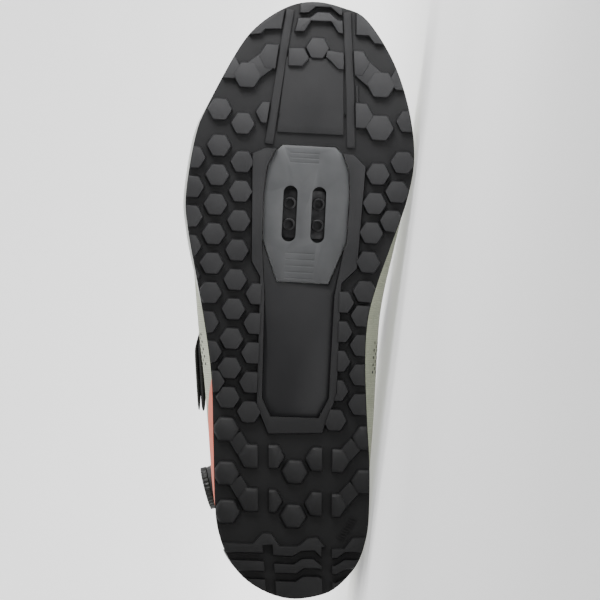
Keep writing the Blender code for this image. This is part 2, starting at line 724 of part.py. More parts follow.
def make_overlays():
    def foot(share, turn):
        return OVERLAY_FOOT

    def stay_low(share, turn):
        return edge_rise(turn, EYESTAY_WIDTH)

    def stay_high(share, turn):
        return edge_rise(turn, EYESTAY_MARGIN)

    overlay("toe_cap", 25, 39, 6, foot, arch(0.14, 0.30, 1.0), "rubber")
    overlay("heel_counter", -4, 4, 8, foot, arch(0.22, 0.58, 0.8), "black")
    overlay("heel_stripe", 5, 12, 3, foot, arch(0.06, 0.21, 0.6), "orange", STRIPE_THICKNESS)
    overlay("eyestay", 14, 50, 2, stay_low, stay_high, "sage")


# What crosses the throat

def crossing(turns_out, turns_in, depth, rises, crown):
    """A smooth row over the throat, from the outer side's rises to the inner side's. depth is its
    distance from the upper's face at each rise, and crown its extra height midway."""
    outer = [upper_offset(*place) for place in zip(turns_out, rises, depth)]
    inner = [upper_offset(*place) for place in zip(turns_in, rises, depth)]
    top = (outer[-1] + inner[-1]) / 2
    top.z += crown
    points = outer + [top] + inner[::-1]
    return even_line([tuple(p) for p in points], False, 60)


TONGUE_ROWS = [
    # outer turn, inner turn, crown, reach under the eyestays
    (0.420, 0.585, -0.0004, 0.012), (0.375, 0.622, 0.0000, 0.014), (0.345, 0.650, 0.0010, 0.017),
    (0.320, 0.675, 0.0020, 0.020), (0.295, 0.704, 0.0030, 0.021), (0.270, 0.730, 0.0040, 0.021),
    (0.246, 0.755, 0.0045, 0.014), (0.230, 0.773, 0.0050, 0.008),
]
# Its free end above the throat: share of SOLE_LENGTH back, of INSTEP_HEIGHT up, and of its width.
TONGUE_TIP = [(-0.028, 0.082, 0.80), (-0.055, 0.150, 0.80), (-0.075, 0.205, 0.78), (-0.082, 0.232, 0.66)]
TONGUE_DEPTH = -(UPPER_WALL + 0.0018)
TONGUE_COLUMNS = 8


def make_tongue():
    rows = []
    for turn_out, turn_in, crown, reach in TONGUE_ROWS:
        rises = [edge_rise(turn_out, reach), edge_rise(turn_out, reach / 2), 1.0]
        line = crossing([turn_out] * 3, [turn_in] * 3, [TONGUE_DEPTH] * 3, rises, crown)
        rows.append([point_at(line, k / TONGUE_COLUMNS) for k in range(TONGUE_COLUMNS + 1)])
    top = rows[-1]
    middle = (top[0].y + top[-1].y) / 2
    for back, up, width in TONGUE_TIP:
        step = Vector((back * SOLE_LENGTH, 0.0, up * INSTEP_HEIGHT))
        narrow = [Vector((p.x, middle + (p.y - middle) * width, p.z)) for p in top]
        rows.append([point + step for point in narrow])
    rows.reverse()
    return solid_sheet("tongue", rows, TONGUE_THICKNESS, "sage")


STRAP_RISES = [0.36, 0.50, 0.64, 0.78, 0.90, 1.0]
STRAP_OUT = [0.0004, 0.0004, 0.0006, 0.0020, 0.0021, 0.0021]
# Turns of the strap's edges: low on the outer side, at the throat, at the throat's inner side, and
# low on the inner side. It slants back as it comes down the outer side.
STRAP_BACK = (0.158, 0.228, 0.772, 0.790)
STRAP_FRONT = (0.212, 0.278, 0.722, 0.740)
STRAP_CROWN = 0.0065
STRAP_END = 0.90        # how far round it reaches on the inner side
STRAP_COLUMNS = 20
TAB_LENGTH = 0.22       # shares of the strap's length and width
TAB_EDGE = 0.04
TAB_COLUMNS = 8
STRAP_ROWS = 4


def strap_row(share, columns, length, extra):
    """A row of points along the strap, at a share of the way across it and extra above it."""
    low_out, top_out, top_in, low_in = (a + (b - a) * share for a, b in zip(STRAP_BACK, STRAP_FRONT))
    climb = [(rise - STRAP_RISES[0]) / (STRAP_RISES[-1] - STRAP_RISES[0]) for rise in STRAP_RISES]
    turns_out = [low_out + (top_out - low_out) * part for part in climb]
    turns_in = [low_in + (top_in - low_in) * part for part in climb]
    depth = [away + STRAP_THICKNESS + extra for away in STRAP_OUT]
    line = crossing(turns_out, turns_in, depth, STRAP_RISES, STRAP_CROWN)
    return [point_at(line, length * k / columns) for k in range(columns + 1)]


def make_strap():
    shares_across = [k / STRAP_ROWS for k in range(STRAP_ROWS + 1)]
    rows = [strap_row(share, STRAP_COLUMNS, STRAP_END, 0.0) for share in shares_across]
    solid_sheet("instep_strap", rows, STRAP_THICKNESS, "black")
    shares_across = [TAB_EDGE + (1 - 2 * TAB_EDGE) * share for share in shares_across]
    rows = [strap_row(share, TAB_COLUMNS, TAB_LENGTH, FIT + TAB_THICKNESS) for share in shares_across]
    solid_sheet("strap_tab", rows, TAB_THICKNESS, "black")


# Lace dial, cable guides and the cable over the tongue

DIAL_AXIS = (-0.30, -0.95, 0.06)
DIAL_FACE = (0.1712, -0.3790, 0.600)    # middle of its outer face: SOLE_LENGTH, BALL_WIDTH, HEEL_HEIGHT
DIAL_TURNS = (0.080, 0.135)             # the upper's stretch under the dial
DIAL_RISES = (0.25, 0.99)
BED_CUTS = 4


def bed_cutter(name, turns, rises, out):
    """A thick piece of the upper's own surface, which shapes the underside of what sits on it."""
    rows = []
    for i in range(BED_CUTS + 1):
        turn = turns[0] + (turns[1] - turns[0]) * i / BED_CUTS
        rows.append([upper_offset(turn, rises[0] + (rises[1] - rises[0]) * j / BED_CUTS, out)
                     for j in range(BED_CUTS + 1)])
    return solid_sheet(name, rows, 4 * UPPER_WALL, None)


def round_piece(name, face, axis, radius, tip_radius, depth, segments, look):
    """A disc whose outer face is at face, its body running back along the axis."""
    bm = bmesh.new()
    bmesh.ops.create_cone(bm, cap_ends=True, segments=segments, radius1=radius, radius2=tip_radius,
                          depth=depth, matrix=Matrix.Translation((0, 0, -depth / 2)))
    piece = new_object(name, bm, look)
    piece.matrix_world = Matrix.Translation(face) @ axis.to_track_quat("Z", "Y").to_matrix().to_4x4()
    return piece


def make_dial():
    axis = Vector(DIAL_AXIS).normalized()
    face = Vector((DIAL_FACE[0] * SOLE_LENGTH, DIAL_FACE[1] * BALL_WIDTH, DIAL_FACE[2] * HEEL_HEIGHT))
    radius = DIAL_WIDTH / 2
    round_piece("lace_dial", face, axis, radius, 0.93 * radius, DIAL_HEIGHT, 24, "black")
    seat = face - axis * (DIAL_HEIGHT + FIT)
    base = round_piece("dial_base", seat, axis, 1.04 * radius, 0.96 * radius, DIAL_SEAT, 24, "black")
    boolean(base, "DIFFERENCE", bed_cutter("dial_bed", DIAL_TURNS, DIAL_RISES, OVERLAY_GAP))


GUIDES = [("outer_1", 0.296), ("outer_2", 0.330), ("inner_1", 0.704), ("inner_2", 0.668)]
GUIDE_IN = 0.0080       # from the edge of the throat to a guide's middle
GUIDE_BED_TURN = 0.03   # half the stretch of the upper under a guide
GUIDE_BED_RISE = 0.16
CABLE_CROWN = 0.0015
CABLE_STEPS = 8
CABLE_PAIRS = [("outer_1", "inner_1", -0.3, -0.3), ("inner_1", "outer_2", 0.3, -0.3),
               ("outer_2", "inner_2", 0.3, 0.3)]


def make_guides():
    """Low blocks on the eyestay. Returns each one's middle, its run along the throat and the point
    where its cable leaves the throat's edge."""
    places = {}
    stay_top = OVERLAY_GAP + OVERLAY_THICKNESS
    for name, turn in GUIDES:
        rise = edge_rise(turn, GUIDE_IN)
        foot = upper_point(turn, rise)
        normal = upper_normal(turn, rise)
        run = upper_point(turn + 0.006, rise) - upper_point(turn - 0.006, rise)
        run = (run - normal * run.dot(normal)).normalized()
        if run.x < 0:
            run = -run
        side = normal.cross(run)
        height = stay_top + FIT + GUIDE_HEIGHT
        bm = bmesh.new()
        bmesh.ops.create_cube(bm, size=1.0, matrix=Matrix.Diagonal((GUIDE_LENGTH, GUIDE_WIDTH, height, 1)))
        block = new_object(f"guide_{name}", bm, "black")
        turned = Matrix((run, side, normal)).transposed().to_4x4()
        block.matrix_world = Matrix.Translation(foot + normal * height / 2) @ turned
        turns = (turn - GUIDE_BED_TURN, turn + GUIDE_BED_TURN)
        bed = bed_cutter(f"bed_{name}", turns, (rise - GUIDE_BED_RISE, 0.999), stay_top + OVERLAY_GAP)
        boolean(block, "DIFFERENCE", bed)
        over_edge = upper_offset(turn, 0.995, stay_top + GUIDE_HEIGHT / 2)
        places[name] = (foot + normal * (height - 0.45 * GUIDE_HEIGHT), run, over_edge)
    return places


def make_cable(places):
    """Lengths of cable from guide to guide, each in a low arch over the tongue."""
    for index, (start_name, end_name, start_shift, end_shift) in enumerate(CABLE_PAIRS):
        knots = []
        for name, shift in ((start_name, start_shift), (end_name, end_shift)):
            middle, run, over_edge = places[name]
            slide = run * shift * GUIDE_LENGTH
            inwards = (over_edge - middle).normalized()
            knots.append((middle + slide + inwards * (GUIDE_WIDTH / 2 + 2 * FIT), over_edge + slide))
        (start, start_edge), (end, end_edge) = knots
        top = (start_edge + end_edge) / 2 + Vector((0, 0, CABLE_CROWN))
        line = even_line([tuple(p) for p in (start, start_edge, top, end_edge, end)], False, 40)
        curve = bpy.data.curves.new(f"cable_{index + 1}", "CURVE")
        curve.dimensions = "3D"
        curve.bevel_depth = CABLE_WIDTH / 2
        curve.bevel_resolution = 1
        curve.use_fill_caps = True
        spline = curve.splines.new("POLY")
        spline.points.add(CABLE_STEPS)
        for k in range(CABLE_STEPS + 1):
            spline.points[k].co = (*point_at(line, k / CABLE_STEPS), 1)
        bar = bpy.data.objects.new(curve.name, curve)
        shoe.objects.link(bar)
        curve.materials.append(make_material(curve.name, "steel"))


# Placing the shoe on its inner side

def shoe_points(pieces):
    bpy.context.view_layer.update()
    graph = bpy.context.evaluated_depsgraph_get()
    points = []
    for piece in pieces:
        if piece.type != "MESH":
            continue
        ready = piece.evaluated_get(graph)
        points += [ready.matrix_world @ vert.co for vert in ready.data.vertices]
    return points


BALANCE = (0.47, 0.0, 0.28)     # shares of SOLE_LENGTH, BALL_WIDTH and HEEL_HEIGHT


def lay_down(pieces):
    """Turns the shoe so that the side of its hull beside its balance point is down."""
    points = shoe_points(pieces)
    bm = bmesh.new()
    for point in points:
        bm.verts.new(point)
    bmesh.ops.convex_hull(bm, input=bm.verts[:])
    bmesh.ops.recalc_face_normals(bm, faces=bm.faces[:])
    balance = Vector((BALANCE[0] * SOLE_LENGTH, BALANCE[1] * BALL_WIDTH, BALANCE[2] * HEEL_HEIGHT))
    tree = BVHTree.FromBMesh(bm)
    touch, down, _, _ = tree.ray_cast(balance, Vector((0, 1, 0)))
    bm.free()
    if down.y < 0:
        down = -down
    up = -down
    ahead = (Vector((1, 0, 0)) - up * up.x).normalized()
    across = up.cross(ahead)
    turned = Matrix((ahead, across, up)).to_4x4()
    placed = [turned @ point for point in points]
    low = [min(p[k] for p in placed) for k in range(3)]
    high = [max(p[k] for p in placed) for k in range(3)]
    floor = (turned @ touch).z + FLOOR_TRIM
    shift = Matrix.Translation((-(low[0] + high[0]) / 2, -(low[1] + high[1]) / 2, -floor))
    frame = bpy.data.objects.new("shoe_frame", None)
    shoe.objects.link(frame)
    frame.matrix_world = shift @ turned
    return frame


def floor_cutter():
    bm = bmesh.new()
    size = 2 * SOLE_LENGTH
    place = Matrix.Translation((0, 0, -size / 2)) @ Matrix.Diagonal((size, size, size, 1))
    bmesh.ops.create_cube(bm, size=1.0, matrix=place)
    return new_object("floor_cutter", bm)


def build():
    make_outsole()
    make_cleat_plate()
    make_arch_panel()
    make_nut_plate()
    make_midsole()
    make_insole()
    make_upper()
    make_overlays()
    make_tongue()
    make_strap()
    make_dial()
    make_cable(make_guides())
    pieces = [piece for piece in shoe.objects]
    frame = lay_down(pieces)
    for piece in pieces + [piece for piece in cutters.objects]:
        piece.parent = frame
    cutter = floor_cutter()
    for name in ("midsole", "upper", "heel_counter"):
        boolean(bpy.data.objects[name], "DIFFERENCE", cutter)


build()
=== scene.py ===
# %% [markdown]
# # A trail cycling shoe, seen from below
# The shoe's measured solids come packed as a fixed frame. This lesson dresses them: a tread of
# bevelled rubber lugs, a nylon cleat plate, a foam midsole and a knit upper. The frame is loaded
# first. Nothing that is added may make the shoe larger.

# %% Load the imported shoe
import json
import math
from contextlib import contextmanager

import bmesh
import bpy
from mathutils import Matrix, Vector
from mathutils.bvhtree import BVHTree


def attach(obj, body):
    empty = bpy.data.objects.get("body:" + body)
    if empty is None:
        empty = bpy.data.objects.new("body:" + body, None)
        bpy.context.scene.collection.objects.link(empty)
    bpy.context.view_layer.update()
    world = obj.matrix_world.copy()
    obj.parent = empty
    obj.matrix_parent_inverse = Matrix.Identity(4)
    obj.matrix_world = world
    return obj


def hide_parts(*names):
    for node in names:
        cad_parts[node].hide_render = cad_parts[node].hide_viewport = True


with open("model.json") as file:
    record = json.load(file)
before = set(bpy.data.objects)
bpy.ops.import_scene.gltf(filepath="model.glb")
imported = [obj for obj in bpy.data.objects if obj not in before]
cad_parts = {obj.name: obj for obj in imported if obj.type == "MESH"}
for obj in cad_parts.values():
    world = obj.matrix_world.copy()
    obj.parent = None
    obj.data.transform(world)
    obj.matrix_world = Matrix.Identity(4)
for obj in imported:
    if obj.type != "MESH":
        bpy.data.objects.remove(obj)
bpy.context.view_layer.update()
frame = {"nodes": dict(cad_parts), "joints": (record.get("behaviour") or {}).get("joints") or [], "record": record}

# %% [markdown]
# ## Hand tools
# Modelling by hand is a few moves made over and over: pick one piece, go into edit mode, choose
# some edges or faces, work on them, and finish with a modifier. Each of those moves gets a short
# helper here, so that the later cells read like the steps a modeller makes at the screen.

# %% Pick, edit and choose
def pick(piece):
    """Leaves one piece selected and active."""
    bpy.ops.object.select_all(action="DESELECT")
    piece.select_set(True)
    bpy.context.view_layer.objects.active = piece


@contextmanager
def editing(piece):
    """Edit mode on one piece, with all of it selected."""
    pick(piece)
    bpy.ops.object.mode_set(mode="EDIT")
    bpy.ops.mesh.select_all(action="SELECT")
    yield
    bpy.ops.object.mode_set(mode="OBJECT")


def choose(kind, test):
    """Inside edit mode, selects only the edges or faces that pass a test."""
    bpy.ops.mesh.select_all(action="DESELECT")
    bpy.ops.mesh.select_mode(type=kind)
    mesh = bmesh.from_edit_mesh(bpy.context.object.data)
    parts = mesh.edges if kind == "EDGE" else mesh.faces
    for part in [part for part in parts if test(part)]:
        part.select_set(True)
    bmesh.update_edit_mesh(bpy.context.object.data)


def shaped(piece, kind, **settings):
    """Adds a modifier and applies it at once."""
    step = piece.modifiers.new(kind.lower(), kind)
    for name, value in settings.items():
        setattr(step, name, value)
    pick(piece)
    bpy.ops.object.modifier_apply(modifier=step.name)
    return piece


def carve(piece, tool, operation="DIFFERENCE", crossing=False):
    """A boolean with another piece, which is used up."""
    shaped(piece, "BOOLEAN", object=tool, operation=operation, solver="EXACT", use_self=crossing)
    bpy.data.objects.remove(tool)
    return piece


def joined(name, pieces):
    """Several pieces as one, with its origin at the world's."""
    bpy.ops.object.select_all(action="DESELECT")
    for piece in pieces:
        piece.select_set(True)
    bpy.context.view_layer.objects.active = pieces[0]
    if len(pieces) > 1:
        bpy.ops.object.join()
    bpy.ops.object.transform_apply(location=True, rotation=True, scale=True)
    whole = bpy.context.object
    whole.name = name
    return whole


def cut_out(name, plan, low, high, slope=0.0):
    """A block on a plan: a filled circle, its corners moved to the plan, pushed from high to low.
    With a slope, its lower end is that much smaller all round."""
    bpy.ops.mesh.primitive_circle_add(vertices=len(plan), radius=0.01, fill_type="NGON")
    piece = bpy.context.object
    piece.name = name
    for corner, (along, out) in zip(piece.data.vertices, plan):
        corner.co = (along, out, high)
    # A sloping block is pushed by a hair first, so that it has an end face to inset
    straight = 0.0001 if slope else high - low
    with editing(piece):
        bpy.ops.mesh.extrude_region_move(TRANSFORM_OT_translate={"value": (0, 0, -straight)})
        bpy.ops.mesh.select_all(action="SELECT")
        bpy.ops.mesh.normals_make_consistent(inside=False)
        if slope:
            choose("FACE", lambda face: face.normal.z < -0.9)
            bpy.ops.mesh.inset(thickness=slope, depth=high - low - straight)
    return piece


def soft_edges(piece, width, segments=2, angle=38):
    """Rounds every edge sharper than an angle."""
    return shaped(piece, "BEVEL", width=width, segments=segments, limit_method="ANGLE",
                  angle_limit=math.radians(angle), miter_outer="MITER_SHARP")


def smooth(piece, angle=32):
    """Smooth shading, with edges sharper than an angle kept crisp."""
    pick(piece)
    bpy.ops.object.shade_smooth_by_angle(angle=math.radians(angle))
    return piece


# %% [markdown]
# ## The shoe's own axes
# The shoe lies on its inner side, so its own axes are turned against the world's. The sole is far
# easier to model upright: x from heel to toe, y from the outer side to the inner side, and z up
# from the tread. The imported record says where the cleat's face is and which way its nut plate
# slides, and from those two the turn between both sets of axes follows, with nothing measured
# by eye. Each new piece is modelled upright, and its mesh is laid down at the end.

# %% Axes from the cleat face and the slide
SOLE_LENGTH = 0.2914
BALL_WIDTH = 0.110
CLEAT_ALONG = 0.643 * SOLE_LENGTH
PLATE_FACE = 0.0032

record = frame["record"]
cleat = next(mount for mount in record["mounts"] if mount["name"] == "cleat_face")
slide = next(joint for joint in frame["joints"] if joint["name"] == "cleat_slide")
shoe_z = -Vector(cleat["axis"]).normalized()
shoe_x = Vector(slide["axis"])
shoe_x = (shoe_x - shoe_z * shoe_x.dot(shoe_z)).normalized()
shoe_y = shoe_z.cross(shoe_x)
shoe_origin = Vector(cleat["pos_m"]) - shoe_x * CLEAT_ALONG - shoe_z * PLATE_FACE
LAY_DOWN = Matrix.Translation(shoe_origin) @ Matrix((shoe_x, shoe_y, shoe_z)).transposed().to_4x4()
STAND_UP = LAY_DOWN.inverted()
print("the shoe is laid down by", [round(value, 4) for row in LAY_DOWN for value in row])


def laid_down(piece):
    """Turns a piece modelled upright into its place, and lets nothing go under the floor."""
    piece.data.transform(LAY_DOWN)
    for corner in piece.data.vertices:
        corner.co.z = max(0.0, corner.co.z)
    return piece


# %% [markdown]
# ## Finishes
# Every surface needs a material with the grain of the real one. Rubber, foam and cloth differ in
# four things: two colours that mix in soft patches, a fine grain that catches light, a roughness
# that is not quite even, and for cloth the threads. One recipe with those knobs keeps all
# finishes of the shoe related. The texture space is the shoe's own, through a Mapping node, so
# that the ribs of cloth stay square to the foot even though the shoe lies on its side.

# %% The recipe for a finish
def link(tree, kind, values=None, links=None, **settings):
    """One node, its constants, and what feeds it."""
    node = tree.nodes.new(kind)
    for name, value in settings.items():
        setattr(node, name, value)
    for name, value in (values or {}).items():
        node.inputs[name].default_value = value
    for name, source in (links or {}).items():
        tree.links.new(source, node.inputs[name])
    return node


def maths(tree, operation, *feeds):
    """What a Math node gives; each feed is a number or another node's output."""
    node = tree.nodes.new("ShaderNodeMath")
    node.operation = operation
    for socket, feed in zip(node.inputs, feeds):
        if isinstance(feed, (int, float)):
            socket.default_value = feed
        else:
            tree.links.new(feed, socket)
    return node.outputs[0]


def graded(tree, value, start, end, low, high):
    """A value between start and end, brought to between low and high."""
    return link(tree, "ShaderNodeMapRange",
                {"From Min": start, "From Max": end, "To Min": low, "To Max": high},
                {"Value": value}).outputs["Result"]


PATCH_SHARE = 0.45
THREAD_SHARE = 0.55


def finish(name, dark, light, patch, grain, bump, roughness, rough_spread=0.08, threads=None, ramp=None,
           **shader_values):
    """A material of two mixed colours, with a fine grain and, for cloth, threads."""
    material = bpy.data.materials.new(name)
    material.use_nodes = True
    tree = material.node_tree
    shader = tree.nodes["Principled BSDF"]
    for key, value in shader_values.items():
        shader.inputs[key.replace("_", " ")].default_value = value
    place = link(tree, "ShaderNodeTexCoord").outputs["Object"]
    upright = link(tree, "ShaderNodeMapping",
                   {"Location": LAY_DOWN.translation, "Rotation": LAY_DOWN.to_euler()},
                   {"Vector": place}, vector_type="TEXTURE").outputs["Vector"]
    patches, fine = (link(tree, "ShaderNodeTexNoise", {"Scale": scale, "Detail": detail},
                          {"Vector": upright}).outputs["Fac"]
                     for scale, detail in ((patch, 4.0), (grain, 3.0)))
    mix = graded(tree, patches, 0.30, 0.70, 0.0, 1.0)
    height = fine
    if threads:
        height = threads(tree, upright, fine)
        mix = maths(tree, "ADD", maths(tree, "MULTIPLY", mix, PATCH_SHARE),
                    maths(tree, "MULTIPLY", height, THREAD_SHARE))
    colour = link(tree, "ShaderNodeMix", {"A": (*dark, 1), "B": (*light, 1)}, {"Factor": mix},
                  data_type="RGBA").outputs["Result"]
    if ramp:
        colour = ramp(tree, upright, colour)
    tree.links.new(colour, shader.inputs["Base Color"])
    rough = graded(tree, fine, 0.0, 1.0, roughness - rough_spread, roughness + rough_spread)
    tree.links.new(rough, shader.inputs["Roughness"])
    relief = link(tree, "ShaderNodeBump", {"Strength": 1.0, "Distance": bump}, {"Height": height})
    tree.links.new(relief.outputs["Normal"], shader.inputs["Normal"])
    return material


def wear(piece, material):
    """Gives a piece one material."""
    piece.data.materials.clear()
    piece.data.materials.append(material)
    return piece


# %% [markdown]
# The tread's rubber is charcoal. Its colour carries painted light: it is lighter at the toe, where
# the key light stands, and nearly black at the heel. The change is slow and follows the length of
# the shoe, so a ramp on the shoe's x does it. The base between the lugs is darker than their tips,
# which is painted shade of the hollows; a number kept on each corner of the mesh tells the
# material. Light alone could do both, but then other views would lose them.

# %% Rubber with painted light along the foot and painted shade at the base
# where the painted light changes along the shoe, and the heights over which the painted shade deepens
RAMP_START = 0.05
RAMP_END = 0.25
TIP_DEPTH = 0.0002
ROOT_DEPTH = 0.0030


def painted_light_ramp(heel_share, toe_share, base_share):
    """Painted light and shade: scales a colour up towards the toe, and down from the lugs' tips to the base."""
    def scaled(tree, upright, colour):
        along = link(tree, "ShaderNodeSeparateXYZ", {}, {"Vector": upright}).outputs["X"]
        depth = link(tree, "ShaderNodeAttribute", attribute_name="depth").outputs["Fac"]
        share = maths(tree, "MULTIPLY", graded(tree, along, RAMP_START, RAMP_END, heel_share, toe_share),
                      graded(tree, depth, TIP_DEPTH, ROOT_DEPTH, 1.0, base_share))
        return link(tree, "ShaderNodeVectorMath", {}, {0: colour, "Scale": share},
                    operation="SCALE").outputs["Vector"]
    return scaled


# painted light along the tread, lighter towards the toe, and painted shade on the base between the lugs
tread_rubber = finish("tread_rubber", (0.018, 0.018, 0.019), (0.025, 0.025, 0.026), 45, 2600, 0.00006,
                      0.60, ramp=painted_light_ramp(0.34, 1.60, 0.50), Specular_IOR_Level=0.25)
side_foam = finish("side_foam", (0.50, 0.51, 0.49), (0.60, 0.61, 0.59), 60, 1800, 0.00010, 0.72)
# the plate's colour carries the same painted light, lighter towards the toe
nylon = finish("cleat_nylon", (0.062, 0.064, 0.067), (0.080, 0.082, 0.085), 90, 3400, 0.00003, 0.42,
               ramp=painted_light_ramp(0.30, 1.16, 1.0))
glossy = finish("arch_gloss", (0.011, 0.011, 0.012), (0.016, 0.016, 0.017), 30, 900, 0.00001, 0.34, 0.03,
                Specular_IOR_Level=0.3)
steel = finish("plated_steel", (0.030, 0.030, 0.031), (0.055, 0.055, 0.056), 300, 4000, 0.00002, 0.36,
               Metallic=1.0)
print("finishes for the sole:", len(bpy.data.materials))

# %% [markdown]
# ## The sole's outline
# All pieces of the sole share one outline. It is a smooth closed line through knots, given as
# shares of the sole's length and of its width at the ball, and it is cut into short even pieces.
# Many knots make bumps, so they are few, and closer only where the line turns fast.

# %% A smooth line through knots
OUTLINE = [
    # along, out
    (0.0003, 0.046), (0.0045, -0.043), (0.017, -0.126), (0.036, -0.198),
    (0.062, -0.254), (0.092, -0.294), (0.140, -0.325),
    (0.259, -0.350), (0.360, -0.371), (0.446, -0.411), (0.528, -0.460),
    (0.607, -0.508), (0.666, -0.526), (0.764, -0.497), (0.817, -0.450),
    (0.915, -0.325), (0.959, -0.235), (0.991, -0.109), (1.000, 0.009),
    (0.992, 0.128), (0.974, 0.234), (0.906, 0.361), (0.824, 0.443),
    (0.745, 0.475), (0.675, 0.452), (0.602, 0.395), (0.530, 0.338),
    (0.474, 0.307), (0.404, 0.304), (0.309, 0.324), (0.223, 0.347),
    (0.136, 0.354), (0.096, 0.341), (0.068, 0.318), (0.044, 0.278),
    (0.0196, 0.2145), (0.0076, 0.147),
]


def plan_of(rows):
    """Plan points in metres from shares of the length and of the width."""
    return [Vector((along * SOLE_LENGTH, out * BALL_WIDTH)) for along, out in rows]


def line_through(knots, closed=False, steps=16):
    """A smooth line through knots."""
    count = len(knots)
    line = []
    for span in range(count if closed else count - 1):
        picks = [(span + k) % count if closed else max(0, min(count - 1, span + k)) for k in (-1, 0, 1, 2)]
        a, b, c, d = (Vector(knots[index]) for index in picks)
        for step in range(steps):
            t = step / steps
            line.append(0.5 * (2 * b + (c - a) * t + (2 * a - 5 * b + 4 * c - d) * t ** 2
                               + (3 * b - a - 3 * c + d) * t ** 3))
    return line if closed else line + [Vector(knots[-1])]


def evenly(line, count, closed=False):
    """Points at equal steps along a line."""
    loop = line + line[:1] if closed else line
    lengths = [0.0]
    for a, b in zip(loop, loop[1:]):
        lengths.append(lengths[-1] + (b - a).length)
    points, index = [], 0
    for k in range(count):
        want = lengths[-1] * k / (count if closed else count - 1)
        while index < len(loop) - 2 and lengths[index + 1] < want:
            index += 1
        part = (want - lengths[index]) / (lengths[index + 1] - lengths[index])
        points.append(loop[index].lerp(loop[index + 1], part))
    return points


EDGE_POINTS = 240
EDGE = evenly(line_through(plan_of(OUTLINE), closed=True), EDGE_POINTS, closed=True)
RUNS = [(EDGE[(index + 1) % EDGE_POINTS] - EDGE[index - 1]).normalized() for index in range(EDGE_POINTS)]
INWARDS = [Vector((-run.y, run.x)) for run in RUNS]


def sole_edge(inset):
    """The outline moved inwards."""
    return [here + inwards * inset for here, inwards in zip(EDGE, INWARDS)]


print("outline from", round(min(p.x for p in EDGE), 4), "to", round(max(p.x for p in EDGE), 4), "m")

# %% [markdown]
# ## Lugs
# The tread is a field of six-sided rubber studs. On the real sole each has sloping sides, softly
# rounded corners and a fine bevel round its top that shows as a light rim. A lug starts as a
# cone with six sides, narrower at its tip, and its upright corners are bevelled in edit mode.
# The heel's large ones also have a sloping facet round the tip, which is an inset. A lug is
# modelled once and copied to every place. The rim comes last, after the sole's edge has cut
# through the outer lugs, so that cut sides get their rim as well.

# %% One lug
LUG_DEPTH = 0.0034
BASE_TOP = 0.0057
LUG_ROOT = 0.0043
LUG_WIDTH = 0.0131
LUG_DRAFT = 0.87
CORNER = 0.0006
FACET_STEEPNESS = 0.7
UPRIGHT = 0.0004


def make_lug(width, draft, facet=0.0):
    """A six-sided stud with sloping sides, rounded corners and a facet round its tip, tip down."""
    radius = 0.5 * width
    shoulder = FACET_STEEPNESS * facet
    bpy.ops.mesh.primitive_cone_add(vertices=6, radius1=radius * draft, radius2=radius,
                                    depth=LUG_ROOT - shoulder, location=(0, 0, (LUG_ROOT + shoulder) / 2))
    bpy.ops.object.transform_apply(location=True)
    lug = bpy.context.object
    with editing(lug):
        if facet:
            choose("FACE", lambda face: face.normal.z < -0.9)
            bpy.ops.mesh.inset(thickness=facet, depth=shoulder)
        choose("EDGE", lambda edge: abs(edge.verts[0].co.z - edge.verts[1].co.z) > UPRIGHT)
        bpy.ops.mesh.bevel(offset=CORNER, segments=2, affect="EDGES")
    return lug


def copied(piece, along, out, sunk=0.0):
    """A copy with its own mesh."""
    twin = piece.copy()
    twin.data = piece.data.copy()
    bpy.context.scene.collection.objects.link(twin)
    twin.location = (along, out, sunk)
    return twin


single_lug = make_lug(LUG_WIDTH, LUG_DRAFT)
print("a lug has", len(single_lug.data.polygons), "faces")

# %% [markdown]
# ## Where the lugs stand
# Single lugs stand in columns along the foot, one step apart. A table says where each column
# starts, as shares of the sole's length and width, how far out its last lug stands and how many
# there are. Reading a column is easier, and closer to how a mould is drawn, than a place for
# every lug.

# %% Columns of single lugs
LUG_PITCH = 0.01435
LUG_COLUMNS = [
    # first_along, first_out, last_out, count
    (0.8112, -0.394, -0.394, 1), (0.7505, -0.390, -0.397, 6), (0.7891, -0.290, -0.290, 1),
    (0.7251, -0.284, -0.294, 9), (0.8093, -0.183, -0.183, 1), (0.5058, -0.188, -0.199, 5),
    (0.7289, -0.500, -0.497, 5), (0.4554, -0.404, -0.364, 3), (0.7158, 0.318, 0.286, 5),
    (0.7371, 0.424, 0.389, 3), (0.4993, 0.190, 0.182, 5), (0.4780, 0.282, 0.2895, 4),
]
lugs = []
for first_along, first_out, last_out, count in LUG_COLUMNS:
    for k in range(count):
        out = first_out + (last_out - first_out) * k / max(1, count - 1)
        lugs.append(copied(single_lug, first_along * SOLE_LENGTH - k * LUG_PITCH, out * BALL_WIDTH))
bpy.data.objects.remove(single_lug)
print("single lugs:", len(lugs))

# %% [markdown]
# ## Large lugs on arms
# At toe and heel larger lugs are tied in pairs by arms that are lower than the lugs: wide and high
# at the toe, narrow and low at the heel. An arm is a strip of even width between two knots. At the
# heel it runs from the front lug's sloping side to the rear lug's, not between their middles.

